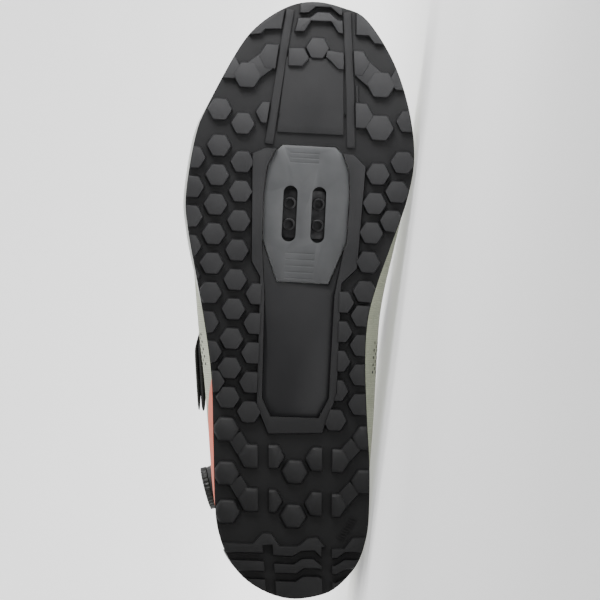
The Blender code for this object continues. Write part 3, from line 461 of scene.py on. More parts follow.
# %% Large lugs and their arms
LUG_GROUPS = [
    # lug_width, draft, facet, sunk, arm_width, knots
    (0.0150, 0.90, 0.0, 0.0, 0.0105, ((0.8706, -0.281), (0.9038, -0.173))),
    (0.0150, 0.90, 0.0, 0.0, 0.0105, ((0.8996, 0.196), (0.8650, 0.312))),
    (0.0150, 0.90, 0.0, 0.0, 0.0080, ((0.8120, 0.222), (0.7930, 0.316))),
    (0.0128, 0.88, 0.0, 0.0003, 0.0, ((0.8813, -0.362), (0.8755, 0.402), (0.8059, 0.439), (0.9219, 0.0236))),
    (0.0143, 0.90, 0.0014, 0.0, 0.0082, ((0.2783, -0.296), (0.2351, -0.178))),
    (0.0143, 0.90, 0.0014, 0.0, 0.0082, ((0.2748, 0.3220), (0.2346, 0.1985))),
    (0.0143, 0.90, 0.0014, 0.0, 0.0082, ((0.2049, -0.285), (0.1627, -0.169))),
    (0.0143, 0.90, 0.0014, 0.0, 0.0082, ((0.2020, 0.3255), (0.1599, 0.196))),
    (0.0143, 0.90, 0.0014, 0.0, 0.0, ((0.2363, -0.090), (0.2128, 0.017), (0.2357, 0.119), (0.1622, -0.089),
                                      (0.1387, 0.020), (0.1611, 0.125), (0.1412, -0.273))),
]
TOE_ARM_DROP = 0.0003
HEEL_ARM_DROP = 0.0011
HEEL_ARM_ENDS = ((-0.16, 0.28), (0.12, -0.24))  # from the lugs' middles, in shares of their width
ARM_SLOPE = 0.0006
OVERLAP = 0.0001


def strip(knots, width):
    """Plan of a strip of even width along knots."""
    left, right = [], []
    for index, here in enumerate(knots):
        ahead = knots[min(index + 1, len(knots) - 1)]
        behind = knots[max(index - 1, 0)]
        run = (ahead - behind).normalized()
        side = Vector((-run.y, run.x)) * width / 2
        left.append(here + side)
        right.append(here - side)
    return left + right[::-1]


for lug_width, draft, facet, sunk, arm_width, spots in LUG_GROUPS:
    knots = plan_of(spots)
    model = make_lug(lug_width, draft, facet)
    lugs += [copied(model, knot.x, knot.y, sunk) for knot in knots]
    bpy.data.objects.remove(model)
    if not arm_width:
        continue
    drop = TOE_ARM_DROP
    if facet:
        drop = HEEL_ARM_DROP
        turn = math.copysign(1, knots[1].y - knots[0].y)
        knots = [knot + lug_width * Vector((along, out * turn))
                 for knot, (along, out) in zip(knots, HEEL_ARM_ENDS)]
    lugs.append(cut_out("arm", strip(knots, arm_width), drop, LUG_ROOT - 2 * OVERLAP, ARM_SLOPE))
print("with large lugs and arms:", len(lugs))

# %% [markdown]
# ## Toe bands and heel bars
# The front of the toe and the back of the heel have long blocks with stepped outlines instead of
# lugs. Each is drawn as a plan, from its corners in the photograph, and pushed down with sloping
# sides. Their corners stay sharp in plan, because the real ones have straight runs.

# %% Blocks on drawn plans
BLOCKS = [
    # toe: front band, second band, both sides of the middle lug, outer and inner corner
    ((0.978, -0.0665), (0.979, -0.0233), (0.9896, 0.0091), (0.9898, 0.0714), (0.9778, 0.111),
     (0.9767, 0.137), (1.02, 0.140), (1.02, -0.064)),
    ((0.9727, -0.0726), (0.9738, -0.0185), (0.9841, 0.0133), (0.9841, 0.0695), (0.9721, 0.1077),
     (0.9711, 0.1376), (0.9456, 0.141), (0.9476, 0.1083), (0.9659, 0.076), (0.9655, -0.0093),
     (0.9473, -0.0367), (0.9464, -0.0866)),
    ((0.9212, -0.1083), (0.9226, -0.034), (0.9039, -0.0064), (0.8885, -0.0382), (0.8882, -0.1073)),
    ((0.9206, 0.0640), (0.9176, 0.1448), (0.886, 0.149), (0.8864, 0.1165), (0.9009, 0.0773),
     (0.9067, 0.0562)),
    ((0.930, -0.380), (0.9371, -0.2798), (0.9396, -0.2293), (0.9481, -0.2101), (0.9495, -0.1372),
     (1.000, -0.119), (1.010, -0.30)),
    ((1.005, 0.180), (0.9455, 0.187), (0.9451, 0.2454), (0.9328, 0.2701), (0.929, 0.400), (1.010, 0.36)),
    # heel: three wavy bars
    ((0.0899, -0.360), (0.0903, -0.156), (0.1095, -0.1145), (0.1098, -0.0706), (0.0891, -0.0305),
     (0.0906, 0.0472), (0.1052, 0.0892), (0.1071, 0.133), (0.0885, 0.1775), (0.0899, 0.2491),
     (0.1089, 0.2831), (0.1115, 0.380), (0.0839, 0.380), (0.0809, 0.2584), (0.071, 0.2259),
     (0.0687, 0.1585), (0.0813, 0.1202), (0.0797, 0.0662), (0.0703, 0.0282), (0.0702, -0.0585),
     (0.0734, -0.1063), (0.0710, -0.360)),
    ((0.0618, -0.350), (0.0632, -0.1049), (0.0601, -0.0503), (0.0602, 0.0323), (0.07, 0.0675),
     (0.071, 0.1189), (0.06, 0.1596), (0.0611, 0.2137), (0.0716, 0.2543), (0.0737, 0.380),
     (0.0584, 0.380), (0.0534, 0.2689), (0.0428, 0.2229), (0.0455, 0.1751), (0.0516, 0.1438),
     (0.0509, 0.0809), (0.0416, 0.0483), (0.0409, -0.041), (0.0428, -0.1022), (0.0414, -0.350)),
    ((0.0312, -0.340), (0.0326, -0.0974), (0.0308, -0.0329), (0.0312, 0.0429), (0.0405, 0.0756),
     (0.0414, 0.1452), (0.0353, 0.1765), (0.0326, 0.2243), (0.0437, 0.2702), (0.0482, 0.380),
     (-0.03, 0.380), (-0.03, -0.340)),
]
BLOCK_SLOPE = 0.0007
STAGGER = 0.00002  # no two blocks end at quite the same height, so their faces never fight
for index, corners in enumerate(BLOCKS):
    lugs.append(cut_out("block", plan_of(corners), STAGGER * index, LUG_ROOT - OVERLAP, BLOCK_SLOPE))
print("with blocks:", len(lugs))

# %% [markdown]
# ## Cutting the lugs
# The outer lugs are sliced by the sole's edge, the inner ones by the raised frame, and long
# channels run through toe and heel. Each lug is cut on its own by three exact booleans: one
# keeps what is inside a fence just within the outline, the others take the frame's room and the
# channels away. Only then does it get its rim, so that cut sides have a rim as well. Joining all
# lugs first would be quicker to write, but lugs that touch would then melt into one another.

# %% Fence, frame, channels and rims
CHANNELS = [
    # width, knots
    (0.0052, ((1.010, -0.100), (0.861, -0.142), (0.757, -0.171))),
    (0.0050, ((1.010, 0.140), (0.853, 0.177), (0.757, 0.193))),
    (0.0054, ((0.275, -0.1318), (0.125, -0.1095))),
    (0.0050, ((0.275, 0.153), (0.125, 0.169))),
    (0.0050, ((0.089, -0.087), (-0.010, -0.054))),
    (0.0052, ((0.0905, 0.174), (-0.010, 0.192))),
]
FRAME = [
    (0.752, -0.187), (0.741, -0.246), (0.560, -0.226), (0.535, -0.185), (0.321, -0.172),
    (0.272, -0.112), (0.278, 0.132), (0.343, 0.190), (0.530, 0.186), (0.556, 0.252),
    (0.728, 0.268), (0.748, 0.208),
]
LUG_INSET = 0.0004
FRAME_HEM = 0.0016  # how far the lugs reach in under the frame's edge
RIM = 0.0005


def shrunk(plan, room):
    """A plan moved inwards."""
    middle = sum(plan, Vector((0, 0))) / len(plan)
    return [here + (middle - here).normalized() * room for here in plan]


fence = cut_out("fence", sole_edge(LUG_INSET), -LUG_DEPTH, BASE_TOP)
frame_room = cut_out("frame_room", shrunk(plan_of(FRAME), FRAME_HEM), -LUG_DEPTH, BASE_TOP)
channels = joined("channels", [cut_out("channel", strip(plan_of(knots), width), -LUG_DEPTH, BASE_TOP)
                               for width, knots in CHANNELS])
islands = []
for lug in lugs:
    shaped(lug, "BOOLEAN", object=fence, operation="INTERSECT", solver="EXACT")
    for tool in (frame_room, channels):
        shaped(lug, "BOOLEAN", object=tool, operation="DIFFERENCE", solver="EXACT")
    if len(lug.data.polygons) > 3:
        islands.append(soft_edges(lug, RIM))
    else:
        bpy.data.objects.remove(lug)
for tool in (fence, frame_room, channels):
    bpy.data.objects.remove(tool)
print("lugs after cutting:", len(islands))

# %% [markdown]
# ## Base and frame
# Under the lugs lies a thin slab. The flat frame round the cleat plate and the arch window stands
# on it with sloping sides. Both are blocks on plans. They overlap, as in one moulding, and the two
# windows are cut through slab and frame alike.

# %% Slab, frame and windows
ARCH_WINDOW = [(0.597, -0.180), (0.504, -0.157), (0.333, -0.1445), (0.303, -0.103),
               (0.304, 0.110), (0.338, 0.151), (0.510, 0.153), (0.592, 0.187)]
PLATE_CORNERS = [(-1.0, -0.60), (-0.38, -0.98), (0.30, -1.0), (0.66, -0.95), (0.90, -0.79), (1.0, -0.62)]
PLATE_LENGTH = 0.0664
PLATE_WIDTH = 0.0415
PLATE_OUT = 0.0009
FIT = 0.0003
FRAME_LOW = 0.25 * LUG_DEPTH
FRAME_SLOPE = 0.0007
FRAME_EDGE = 0.0008


def plate_plan(room):
    """The cleat plate's outline, grown by room."""
    length, width = PLATE_LENGTH / 2 + room, PLATE_WIDTH / 2 + room
    half = [Vector((CLEAT_ALONG + along * length, PLATE_OUT + out * width)) for along, out in PLATE_CORNERS]
    return half + [Vector((point.x, 2 * PLATE_OUT - point.y)) for point in reversed(half)]


def cut_windows(piece):
    """Cuts the plate's and the arch's openings."""
    for plan in (plate_plan(FIT), plan_of(ARCH_WINDOW)):
        carve(piece, cut_out("window", plan, -LUG_DEPTH, 2 * BASE_TOP))
    return piece


slab = cut_windows(cut_out("slab", sole_edge(0.0), LUG_DEPTH, BASE_TOP))
plate_frame = cut_windows(cut_out("plate_frame", plan_of(FRAME), FRAME_LOW, LUG_ROOT, FRAME_SLOPE))
soft_edges(plate_frame, FRAME_EDGE, 3)
print("frame faces:", len(plate_frame.data.polygons))

# %% [markdown]
# ## Toe rails, pad and flex ribs
# Two smooth rails run to the toe between the lugs, with a short ridge beside one of them. Between
# the rails lies a low pad with a crisp step where the foot bends, and low on the heel's inner side
# stand nine fine ribs. All are strips or drawn plans, and one rib is copied for the others.

# %% Rails, ridge, pad and ribs
RAILS = [
    # width, low, knots
    (0.0042, 0.0021, ((0.985, -0.106), (0.930, -0.123), (0.861, -0.142), (0.757, -0.171))),
    (0.0042, 0.0021, ((0.985, 0.146), (0.930, 0.158), (0.853, 0.177), (0.757, 0.193))),
    (0.0012, 0.0020, ((0.862, 0.206), (0.830, 0.212), (0.796, 0.216))),
]
PAD = [(0.778, -0.138), (0.905, -0.112), (0.905, 0.140), (0.778, 0.158)]
PAD_LOW = 0.0020
RIBS = 9
RIB_START = Vector((0.0411, 0.0302))
RIB_STEP = Vector((-0.00122, -0.00075))
RIB_RUN = Vector((-0.0009, 0.0028))
RIB_WIDTH = 0.0006
RIB_LOW = 0.0026
rails = [soft_edges(cut_out("toe_rail", strip(plan_of(knots), width), low, LUG_ROOT), 0.0005, 3)
         for width, low, knots in RAILS]
pad = soft_edges(cut_out("toe_pad", plan_of(PAD), PAD_LOW, LUG_ROOT - OVERLAP), 0.0004)
rib = cut_out("flex_rib", strip([RIB_START, RIB_START + RIB_RUN], RIB_WIDTH), RIB_LOW, LUG_ROOT)
flex_ribs = [rib] + [copied(rib, *(k * RIB_STEP)) for k in range(1, RIBS)]
print("rails, pad and ribs:", len(rails) + 1 + len(flex_ribs))

# %% [markdown]
# ## Toe spring and heel bevel
# A sole isn't flat: the toe rises, and the heel's last edge lifts a little. The tread was
# modelled flat, because lugs are easier to place that way. Now its long pieces are cut across at
# even stations, which gives long faces something to bend at, and each corner of the tread rises
# by the height that the curve gives at its place along the foot.

# %% Bend the tread and lay it down
TOE_SPRING = 0.0115
HEEL_BEVEL = 0.0025
SPRING_START = 0.740 * SOLE_LENGTH
BEVEL_START = 0.085 * SOLE_LENGTH


def lift(along):
    """How far the tread rises off its plane."""
    if along > SPRING_START:
        return TOE_SPRING * ((along - SPRING_START) / (SOLE_LENGTH - SPRING_START)) ** 1.8
    if along < BEVEL_START:
        return HEEL_BEVEL * ((BEVEL_START - along) / BEVEL_START) ** 2
    return 0.0


def bent(piece, stations, height):
    """Cuts a piece across at stations and gives each corner its new height."""
    for station in stations:
        with editing(piece):
            bpy.ops.mesh.bisect(plane_co=(station, 0, 0), plane_no=(1, 0, 0))
    for corner in piece.data.vertices:
        corner.co.z = height(corner.co.x, corner.co.z)
    return piece


def steps(start, end, count):
    """The places between start and end that cut them into even parts."""
    return [start + (end - start) * k / count for k in range(1, count)]


bends = steps(SPRING_START, SOLE_LENGTH, 10) + steps(0.0, BEVEL_START, 4)
for piece in [slab, pad] + rails:
    bent(piece, bends, lambda along, high: high)
outsole = joined("outsole_rubber", [slab, plate_frame, pad] + rails + flex_ribs + islands)
# each corner's height before the bend, kept as depth: the mask of the painted shade between the lugs
depth = outsole.data.attributes.new("depth", "FLOAT", "POINT")
depth.data.foreach_set("value", [corner.co.z for corner in outsole.data.vertices])
bent(outsole, [], lambda along, high: high + lift(along))
with editing(outsole):
    bpy.ops.mesh.normals_make_consistent(inside=False)
smooth(laid_down(outsole))
wear(outsole, tread_rubber)
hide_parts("outsole")
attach(outsole, "shoe")
print("outsole faces:", len(outsole.data.polygons))

# %% [markdown]
# ## Cleat plate
# The plate is satin grey nylon with two slots for the cleat's bolts, and shallow grooves across
# both ends that stop a cleat from turning. It is cut from its plan, copies of one slot and one
# groove are carved out, and its edges get a fine bevel.

# %% Plate with slots and grooves
SLOT_OUT = 0.0070
SLOT_LENGTH = 0.0273
SLOT_WIDTH = 0.0068
GROOVES = [0.2170, 0.2147, 0.2124] + [0.1683 - 0.0031 * k for k in range(5)]
GROOVE_ENDS = [Vector((0, -0.0080)), Vector((0, 0.0060))]
GROOVE_WIDTH = 0.0007
GROOVE_DEPTH = 0.00012


def slot_plan():
    """A slot with round ends along the foot."""
    half = (SLOT_LENGTH - SLOT_WIDTH) / 2
    plan = []
    for sign in (1, -1):
        for k in range(13):
            angle = math.pi * k / 12 - math.pi / 2
            turn = SLOT_WIDTH / 2 * Vector((math.cos(angle), math.sin(angle)))
            plan.append(sign * (Vector((half, 0)) + turn))
    return plan


plate = cut_out("cleat_plate_nylon", plate_plan(0.0), PLATE_FACE, BASE_TOP)
slot = cut_out("slot", slot_plan(), 0.0, 2 * BASE_TOP)
for out in (-SLOT_OUT, SLOT_OUT):
    carve(plate, copied(slot, CLEAT_ALONG, out))
groove = cut_out("groove", strip(GROOVE_ENDS, GROOVE_WIDTH), 0.0, PLATE_FACE + GROOVE_DEPTH)
carve(plate, joined("grooves", [copied(groove, along, 0) for along in GROOVES]))
for model in (slot, groove):
    bpy.data.objects.remove(model)
soft_edges(plate, 0.00025, 2, 50)
smooth(laid_down(plate))
wear(plate, nylon)
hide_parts("cleat_plate")
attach(plate, "shoe")
print("plate faces:", len(plate.data.polygons))

# %% [markdown]
# ## Arch panel
# Behind the arch window lies a glossy black panel, set back in the sole. It is plain. A block
# with a soft edge is all it needs, and its shine comes from a low roughness and from what the
# lights draw on it.

# %% Plain glossy panel
PANEL_THICKNESS = 0.0013
panel = cut_out("arch_panel_gloss", shrunk(plan_of(ARCH_WINDOW), 0.0001),
                BASE_TOP - PANEL_THICKNESS, BASE_TOP)
carve(panel, cut_out("plate_room", plate_plan(FIT), 0.0, 2 * BASE_TOP))
soft_edges(panel, 0.0003)
smooth(laid_down(panel))
wear(panel, glossy)
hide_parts("arch_panel")
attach(panel, "shoe")
print("panel faces:", len(panel.data.polygons))

# %% [markdown]
# ## Nut plate
# The nut plate slides behind the slots and carries four threaded bosses. A boss is a short post
# with a bevelled rim, modelled once and copied to the two-bolt pattern. Four blind bores are then
# carved into the whole.

# %% Steel plate with four bosses
NUT_LENGTH = 0.0240
NUT_WIDTH = 0.0250
NUT_THICKNESS = 0.0020
NUT_MIDDLE = BASE_TOP + FIT + NUT_THICKNESS / 2
BOLT_ALONG = 0.00515
BOSS_TIP = 0.0039
BOSS_RADIUS = 0.0029
BORE_RADIUS = 0.0020
BORE_END = NUT_MIDDLE + 0.0004


def rectangle(length, width):
    """A rectangle's plan round the cleat's middle."""
    signs = ((-1, -1), (1, -1), (1, 1), (-1, 1))
    return [Vector((CLEAT_ALONG + a * length / 2, b * width / 2)) for a, b in signs]


def round_plan(radius, corners=32):
    """A circle's plan."""
    angles = [math.tau * k / corners for k in range(corners)]
    return [radius * Vector((math.cos(angle), math.sin(angle))) for angle in angles]


nut = cut_out("nut_plate_steel", rectangle(NUT_LENGTH, NUT_WIDTH), NUT_MIDDLE - NUT_THICKNESS / 2,
              NUT_MIDDLE + NUT_THICKNESS / 2)
soft_edges(nut, 0.0005)
boss = soft_edges(cut_out("boss", round_plan(BOSS_RADIUS), BOSS_TIP, NUT_MIDDLE), 0.0004)
bore = cut_out("bore", round_plan(BORE_RADIUS, 28), 0.0, BORE_END)
places = [(CLEAT_ALONG + a * BOLT_ALONG, b * SLOT_OUT) for a in (-1, 1) for b in (-1, 1)]
nut = joined("nut_plate_steel", [nut] + [copied(boss, along, out) for along, out in places])
carve(nut, joined("bores", [copied(bore, along, out) for along, out in places]), crossing=True)
for model in (boss, bore):
    bpy.data.objects.remove(model)
smooth(laid_down(nut))
wear(nut, steel)
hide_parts("nut_plate")
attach(nut, "nut_plate")
print("nut plate faces:", len(nut.data.polygons))

# %% [markdown]
# ## Midsole
# The midsole is pale foam whose side has two ribs with a groove between them. It is built like a
# stack of rings: the outline, moved out or in by a little at each height. A grid primitive gets
# one corner for each point of those rings, its seam is merged and both ends are filled. Then it
# is cut across and its heights follow the footbed.

# %% Foam with a ribbed side
MIDSOLE_SIDE = [
    # rise, proud
    (0.00, -0.0010), (0.03, -0.0002), (0.10, 0.0007), (0.30, 0.0011), (0.42, 0.0012), (0.450, 0.0009),
    (0.465, 0.0002), (0.495, 0.0002), (0.51, 0.0009), (0.54, 0.0012), (0.70, 0.0011), (0.84, 0.0009),
    (0.95, 0.0002), (1.00, -0.0012),
]
HEEL_STACK = 0.0255
HEEL_DROP = 0.0105
TUCK = 0.0016
MIDSOLE_LOW = BASE_TOP + FIT
POCKET_ROOF = MIDSOLE_LOW + 0.0023


def ring_stack(name, rings):
    """A closed piece through rings of points."""
    rows = [ring + ring[:1] for ring in rings]
    bpy.ops.mesh.primitive_grid_add(x_subdivisions=len(rows[0]) - 1, y_subdivisions=len(rows) - 1, size=0.1)
    piece = bpy.context.object
    piece.name = name
    for corner, point in zip(piece.data.vertices, [point for row in rows for point in row]):
        corner.co = point
    with editing(piece):
        bpy.ops.mesh.remove_doubles(threshold=0.00001)
        choose("EDGE", lambda edge: edge.is_boundary)
        bpy.ops.mesh.edge_face_add()
    with editing(piece):
        bpy.ops.mesh.normals_make_consistent(inside=False)
    return piece


def held(value):
    """A value kept between nothing and one."""
    return min(1.0, max(0.0, value))


def footbed(along):
    """Height of the midsole's top."""
    share = held((along / SOLE_LENGTH - 0.20) / 0.50)
    return HEEL_STACK - HEEL_DROP * share * share * (3 - 2 * share) + lift(along)


def tuck(point):
    """How far the midsole hides behind the rubber's edge: not at all at the outer ball."""
    ahead = held((point.x - 0.222) / 0.03)
    behind = held((0.165 - point.x) / 0.03)
    return TUCK * max(ahead, 0.75 * behind, 0.7 * held(point.y / 0.02))


rings = []
for rise, proud in MIDSOLE_SIDE:
    moved = [here + inwards * tuck(edge) for here, inwards, edge in zip(sole_edge(-proud), INWARDS, EDGE)]
    rings.append([Vector((here.x, here.y, rise)) for here in moved])
midsole = ring_stack("midsole_foam", rings)
bent(midsole, steps(0.0, SOLE_LENGTH, 24),
     lambda along, share: (1 - share) * (MIDSOLE_LOW + lift(along)) + share * footbed(along))
pocket = rectangle(0.0350, 0.0260)
carve(midsole, cut_out("nut_pocket", pocket, 0.0, POCKET_ROOF))
smooth(laid_down(midsole))
wear(midsole, side_foam)
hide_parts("midsole")
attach(midsole, "shoe")
print("midsole faces:", len(midsole.data.polygons))

# %% [markdown]
# ## A black sheet in the pocket
# A thin black sheet lies against the pocket's roof, behind the slots. It is painted shade: without
# it the slots' ends would look into pale foam. A flat block against the pocket's roof is enough.

# %% Black sheet of painted shade in the pocket
SHADE_SHEET_PLACE = POCKET_ROOF - 0.0002
SHADE_SHEET_THICKNESS = 0.00018
# painted shade: a black sheet where the slots' ends look into the pocket
shade_sheet = cut_out("pocket_shade_sheet", shrunk(pocket, 0.0003), SHADE_SHEET_PLACE, SHADE_SHEET_PLACE + SHADE_SHEET_THICKNESS)
laid_down(shade_sheet)
wear(shade_sheet, glossy)
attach(shade_sheet, "shoe")
print("film at", round(SHADE_SHEET_PLACE, 4), "m above the tread")

# %% [markdown]
# ## Cloth and leather
# The upper is sage knit with small cells and fine ribs across the foot, framed by smooth synthetic
# leather, and the strap's black webbing is the same with smaller cells. The lining is a coarse dark net:
# waves along all three axes, so that it shows on faces that look any way. Leather and the moulded
# parts have a pebbled grain and no threads.

# %% Threads and the soft finishes
WAVE_PERIOD = 0.314  # the length after which a wave texture of scale 1 repeats


def wave(tree, upright, axis, pitch, values):
    """Waves of one pitch along an axis of the shoe."""
    return link(tree, "ShaderNodeTexWave", {"Scale": WAVE_PERIOD / pitch, **values},
                {"Vector": upright}, bands_direction=axis).outputs["Fac"]


def mixed_in(tree, grain, parts, share):
    """The fine grain with an even share of each part."""
    total = maths(tree, "MULTIPLY", grain, 1 - share)
    for part in parts:
        total = maths(tree, "ADD", total, maths(tree, "MULTIPLY", part, share / len(parts)))
    return total


def woven(pitch, share):
    """Threads as waves along the shoe's three axes."""
    def threads(tree, upright, grain):
        waves = [wave(tree, upright, axis, pitch, {"Distortion": 0.4, "Detail Scale": 2.0}) for axis in "XYZ"]
        return mixed_in(tree, grain, waves, share)
    return threads


def netted(pitch, rib_pitch, share):
    """Small round cells, as of a fine knitted mesh, with ribs across the foot."""
    def threads(tree, upright, grain):
        cells = link(tree, "ShaderNodeTexVoronoi", {"Scale": 1 / pitch, "Randomness": 0.65},
                     {"Vector": upright}).outputs["Distance"]
        ribs = wave(tree, upright, "X", rib_pitch, {"Distortion": 0.3})
        # Where cloth faces along the foot, ribs would widen into rings, so they fade out there
        facing = link(tree, "ShaderNodeNewGeometry").outputs["Normal"]
        along = link(tree, "ShaderNodeVectorMath", {1: shoe_x}, {0: facing},
                     operation="DOT_PRODUCT").outputs["Value"]
        shown = graded(tree, maths(tree, "ABSOLUTE", along), 0.35, 0.75, 1.0, 0.0)
        return mixed_in(tree, grain, [cells, maths(tree, "MULTIPLY", ribs, shown)], share)
    return threads


knit = finish("sage_knit", (0.27, 0.29, 0.215), (0.52, 0.54, 0.42), 40, 2600, 0.00035, 0.85,
              threads=netted(0.0015, 0.00105, 0.8), Sheen_Weight=0.2)
leather = finish("sage_leather", (0.34, 0.36, 0.27), (0.42, 0.44, 0.34), 50, 1500, 0.00014, 0.58)
toe_rubber = finish("toe_rubber", (0.024, 0.024, 0.025), (0.036, 0.036, 0.037), 60, 2200, 0.00010, 0.62)
counter_film = finish("counter_film", (0.010, 0.010, 0.010), (0.016, 0.016, 0.016), 60, 2400, 0.00008, 0.50)
orange_film = finish("orange_film", (0.60, 0.120, 0.068), (0.70, 0.160, 0.095), 50, 2000, 0.00006, 0.55)
webbing = finish("black_webbing", (0.006, 0.006, 0.006), (0.022, 0.022, 0.021), 80, 2600, 0.00030, 0.72,
                 threads=netted(0.0013, 0.0011, 0.8))
net = finish("lining_net", (0.020, 0.021, 0.020), (0.090, 0.093, 0.090), 70, 2600, 0.00040, 0.90,
             threads=woven(0.0020, 0.8), Sheen_Weight=0.3)
hard_black = finish("dial_black", (0.009, 0.009, 0.009), (0.014, 0.014, 0.014), 80, 2400, 0.00003, 0.42)
cable_steel = finish("cable_steel", (0.20, 0.20, 0.20), (0.34, 0.34, 0.34), 900, 5000, 0.00006, 0.38,
                     Metallic=1.0)
thread = finish("stitch_thread", (0.16, 0.17, 0.125), (0.24, 0.26, 0.19), 400, 5000, 0.00010, 0.8)
print("finishes in all:", len(bpy.data.materials))

# %% [markdown]
# ## Upper and its overlays
# The upper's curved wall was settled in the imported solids, so its shape starts from them. A
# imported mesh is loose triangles; a copy is merged and paired back into four-sided faces, and
# subdivision then rounds it into cloth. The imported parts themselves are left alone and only
# hidden, each by the piece that stands for it.

# %% Rounded copies of the soft solids
def softened(name, node, material, levels=2):
    """A merged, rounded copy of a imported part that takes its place."""
    piece = bpy.data.objects.new(name, frame["nodes"][node].data.copy())
    bpy.context.scene.collection.objects.link(piece)
    with editing(piece):
        bpy.ops.mesh.customdata_custom_splitnormals_clear()
        bpy.ops.mesh.remove_doubles(threshold=0.00002)
        bpy.ops.mesh.tris_convert_to_quads(face_threshold=math.radians(50), shape_threshold=math.radians(60))
        bpy.ops.mesh.normals_make_consistent(inside=False)
    shaped(piece, "SUBSURF", levels=levels, render_levels=levels)
    pick(piece)
    bpy.ops.object.shade_smooth()
    wear(piece, material)
    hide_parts(node)
    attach(piece, "shoe")
    return piece


upper = softened("upper_knit", "upper", knit)
toe_cap = softened("toe_cap_rubber", "toe_cap", toe_rubber)
counter = softened("heel_counter_film", "heel_counter", counter_film)
stripe = softened("heel_stripe_film", "heel_stripe", orange_film)
eyestay = softened("eyestay_leather", "eyestay", leather)
softened("instep_strap_webbing", "instep_strap", webbing)
softened("strap_tab_webbing", "strap_tab", webbing)
softened("insole_net", "insole", net, 1)
print("upper faces:", len(upper.data.polygons))

# %% [markdown]
# ## Padded tongue
# The tongue is foam between two layers of cloth. Blown up gently from inside, as cloth with air
# pressure, it gets the swell of real padding. The mesh is rebuilt with even faces first, because
# pressure on uneven ones gives wrinkles that no cloth has. No point may travel far, so a pad can't
# swell into what is beside it.

# %% Cloth under pressure
AIR_PRESSURE = 4.0
SWELL_FRAMES = 20


def swollen(piece, voxel, farthest):
    """Swells a closed piece like padding."""
    shaped(piece, "REMESH", mode="VOXEL", voxel_size=voxel)
    before = [corner.co.copy() for corner in piece.data.vertices]
    cloth = piece.modifiers.new("padding", "CLOTH")
    cloth.settings.use_pressure = True
    cloth.settings.uniform_pressure_force = AIR_PRESSURE
    cloth.settings.effector_weights.gravity = 0.0
    for number in range(1, SWELL_FRAMES + 1):
        bpy.context.scene.frame_set(number)
    pick(piece)
    bpy.ops.object.modifier_apply(modifier=cloth.name)
    bpy.context.scene.frame_set(1)
    for corner, start in zip(piece.data.vertices, before):
        move = corner.co - start
        if move.length > farthest:
            corner.co = start + move.normalized() * farthest
    shaped(piece, "SMOOTH", factor=0.5, iterations=3)
    shaped(piece, "SUBSURF", levels=1, render_levels=1)
    pick(piece)
    bpy.ops.object.shade_smooth()
    return piece


tongue = softened("tongue_knit", "tongue", knit, 1)
swollen(tongue, 0.0016, 0.0009)
wear(tongue, knit)
print("tongue faces:", len(tongue.data.polygons))

# %% [markdown]
# ## The collar's padded roll
# Inside the collar runs a padded roll of lining net. It is a stack of oval rings that follow the
# collar's line, each a little inside the upper's wall, and they shrink at both ends so that the
# roll fades out beside the tongue. The same cloth step then swells it.

# %% Roll inside the collar
INSTEP_HEIGHT = 0.103
HEEL_HEIGHT = 0.112
COLLAR = [(0.405, 0.196, 0.985 * INSTEP_HEIGHT), (0.305, 0.276, 0.790 * HEEL_HEIGHT),
          (0.172, 0.282, 0.765 * HEEL_HEIGHT), (0.072, 0.200, 0.915 * HEEL_HEIGHT),
          (0.048, 0.014, 0.978 * HEEL_HEIGHT), (0.072, -0.176, 0.910 * HEEL_HEIGHT),
          (0.172, -0.264, 0.745 * HEEL_HEIGHT), (0.305, -0.260, 0.760 * HEEL_HEIGHT),
          (0.405, -0.180, 0.945 * INSTEP_HEIGHT)]
ROLL_DEPTH = 0.013
ROLL_THICK = 0.0034
ROLL_INSIDE = 0.0028
ROLL_LOWER = 0.75 * ROLL_DEPTH
ROLL_RINGS = 90
UP = Vector((0, 0, 1))

knots = [Vector((along * SOLE_LENGTH, out * BALL_WIDTH, height)) for along, out, height in COLLAR]
path = evenly(line_through(knots), ROLL_RINGS)
middle = Vector((0.22 * SOLE_LENGTH, 0, 0.6 * HEEL_HEIGHT))
rings = []
for index, here in enumerate(path):
    run = (path[min(index + 1, ROLL_RINGS - 1)] - path[max(index - 1, 0)]).normalized()
    inwards = middle - here
    inwards = inwards - run * inwards.dot(run)
    inwards.z = 0
    inwards.normalize()
    fade = min(1.0, 0.25 + min(index, ROLL_RINGS - 1 - index) / 9)
    centre = here + inwards * ROLL_INSIDE - UP * ROLL_LOWER * fade
    angles = [math.tau * k / 16 for k in range(16)]
    wide, high = inwards * ROLL_THICK * fade, UP * ROLL_DEPTH * fade
    rings.append([centre + wide * math.cos(angle) + high * math.sin(angle) for angle in angles])
collar = ring_stack("collar_roll", rings)
swollen(collar, 0.0026, 0.0012)
laid_down(collar)
wear(collar, net)
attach(collar, "shoe")
print("collar faces:", len(collar.data.polygons))

# %% [markdown]
# ## Stitches
# Rows of short stitches hold leather on knit. Each is a tiny capsule, modelled once. Rows are
# drawn as lines in the side view and thrown onto the shoe by a ray from that side, which also
# gives the direction that the cloth faces, so every stitch lies flat on its own spot.

# %% Throw rows of stitches onto the sides
def skin_of(pieces):
    """A search tree of several pieces, stood upright."""
    points, faces = [], []
    for piece in pieces:
        first = len(points)
        points += [STAND_UP @ corner.co for corner in piece.data.vertices]
        faces += [[first + index for index in face.vertices] for face in piece.data.polygons]
    return BVHTree.FromPolygons(points, faces)


def set_on(piece, spot, direction):
    """A copy that stands on a spot and points in a direction."""
    twin = copied(piece, 0, 0)
    twin.matrix_world = Matrix.Translation(spot) @ direction.to_track_quat("Z", "Y").to_matrix().to_4x4()
    return twin


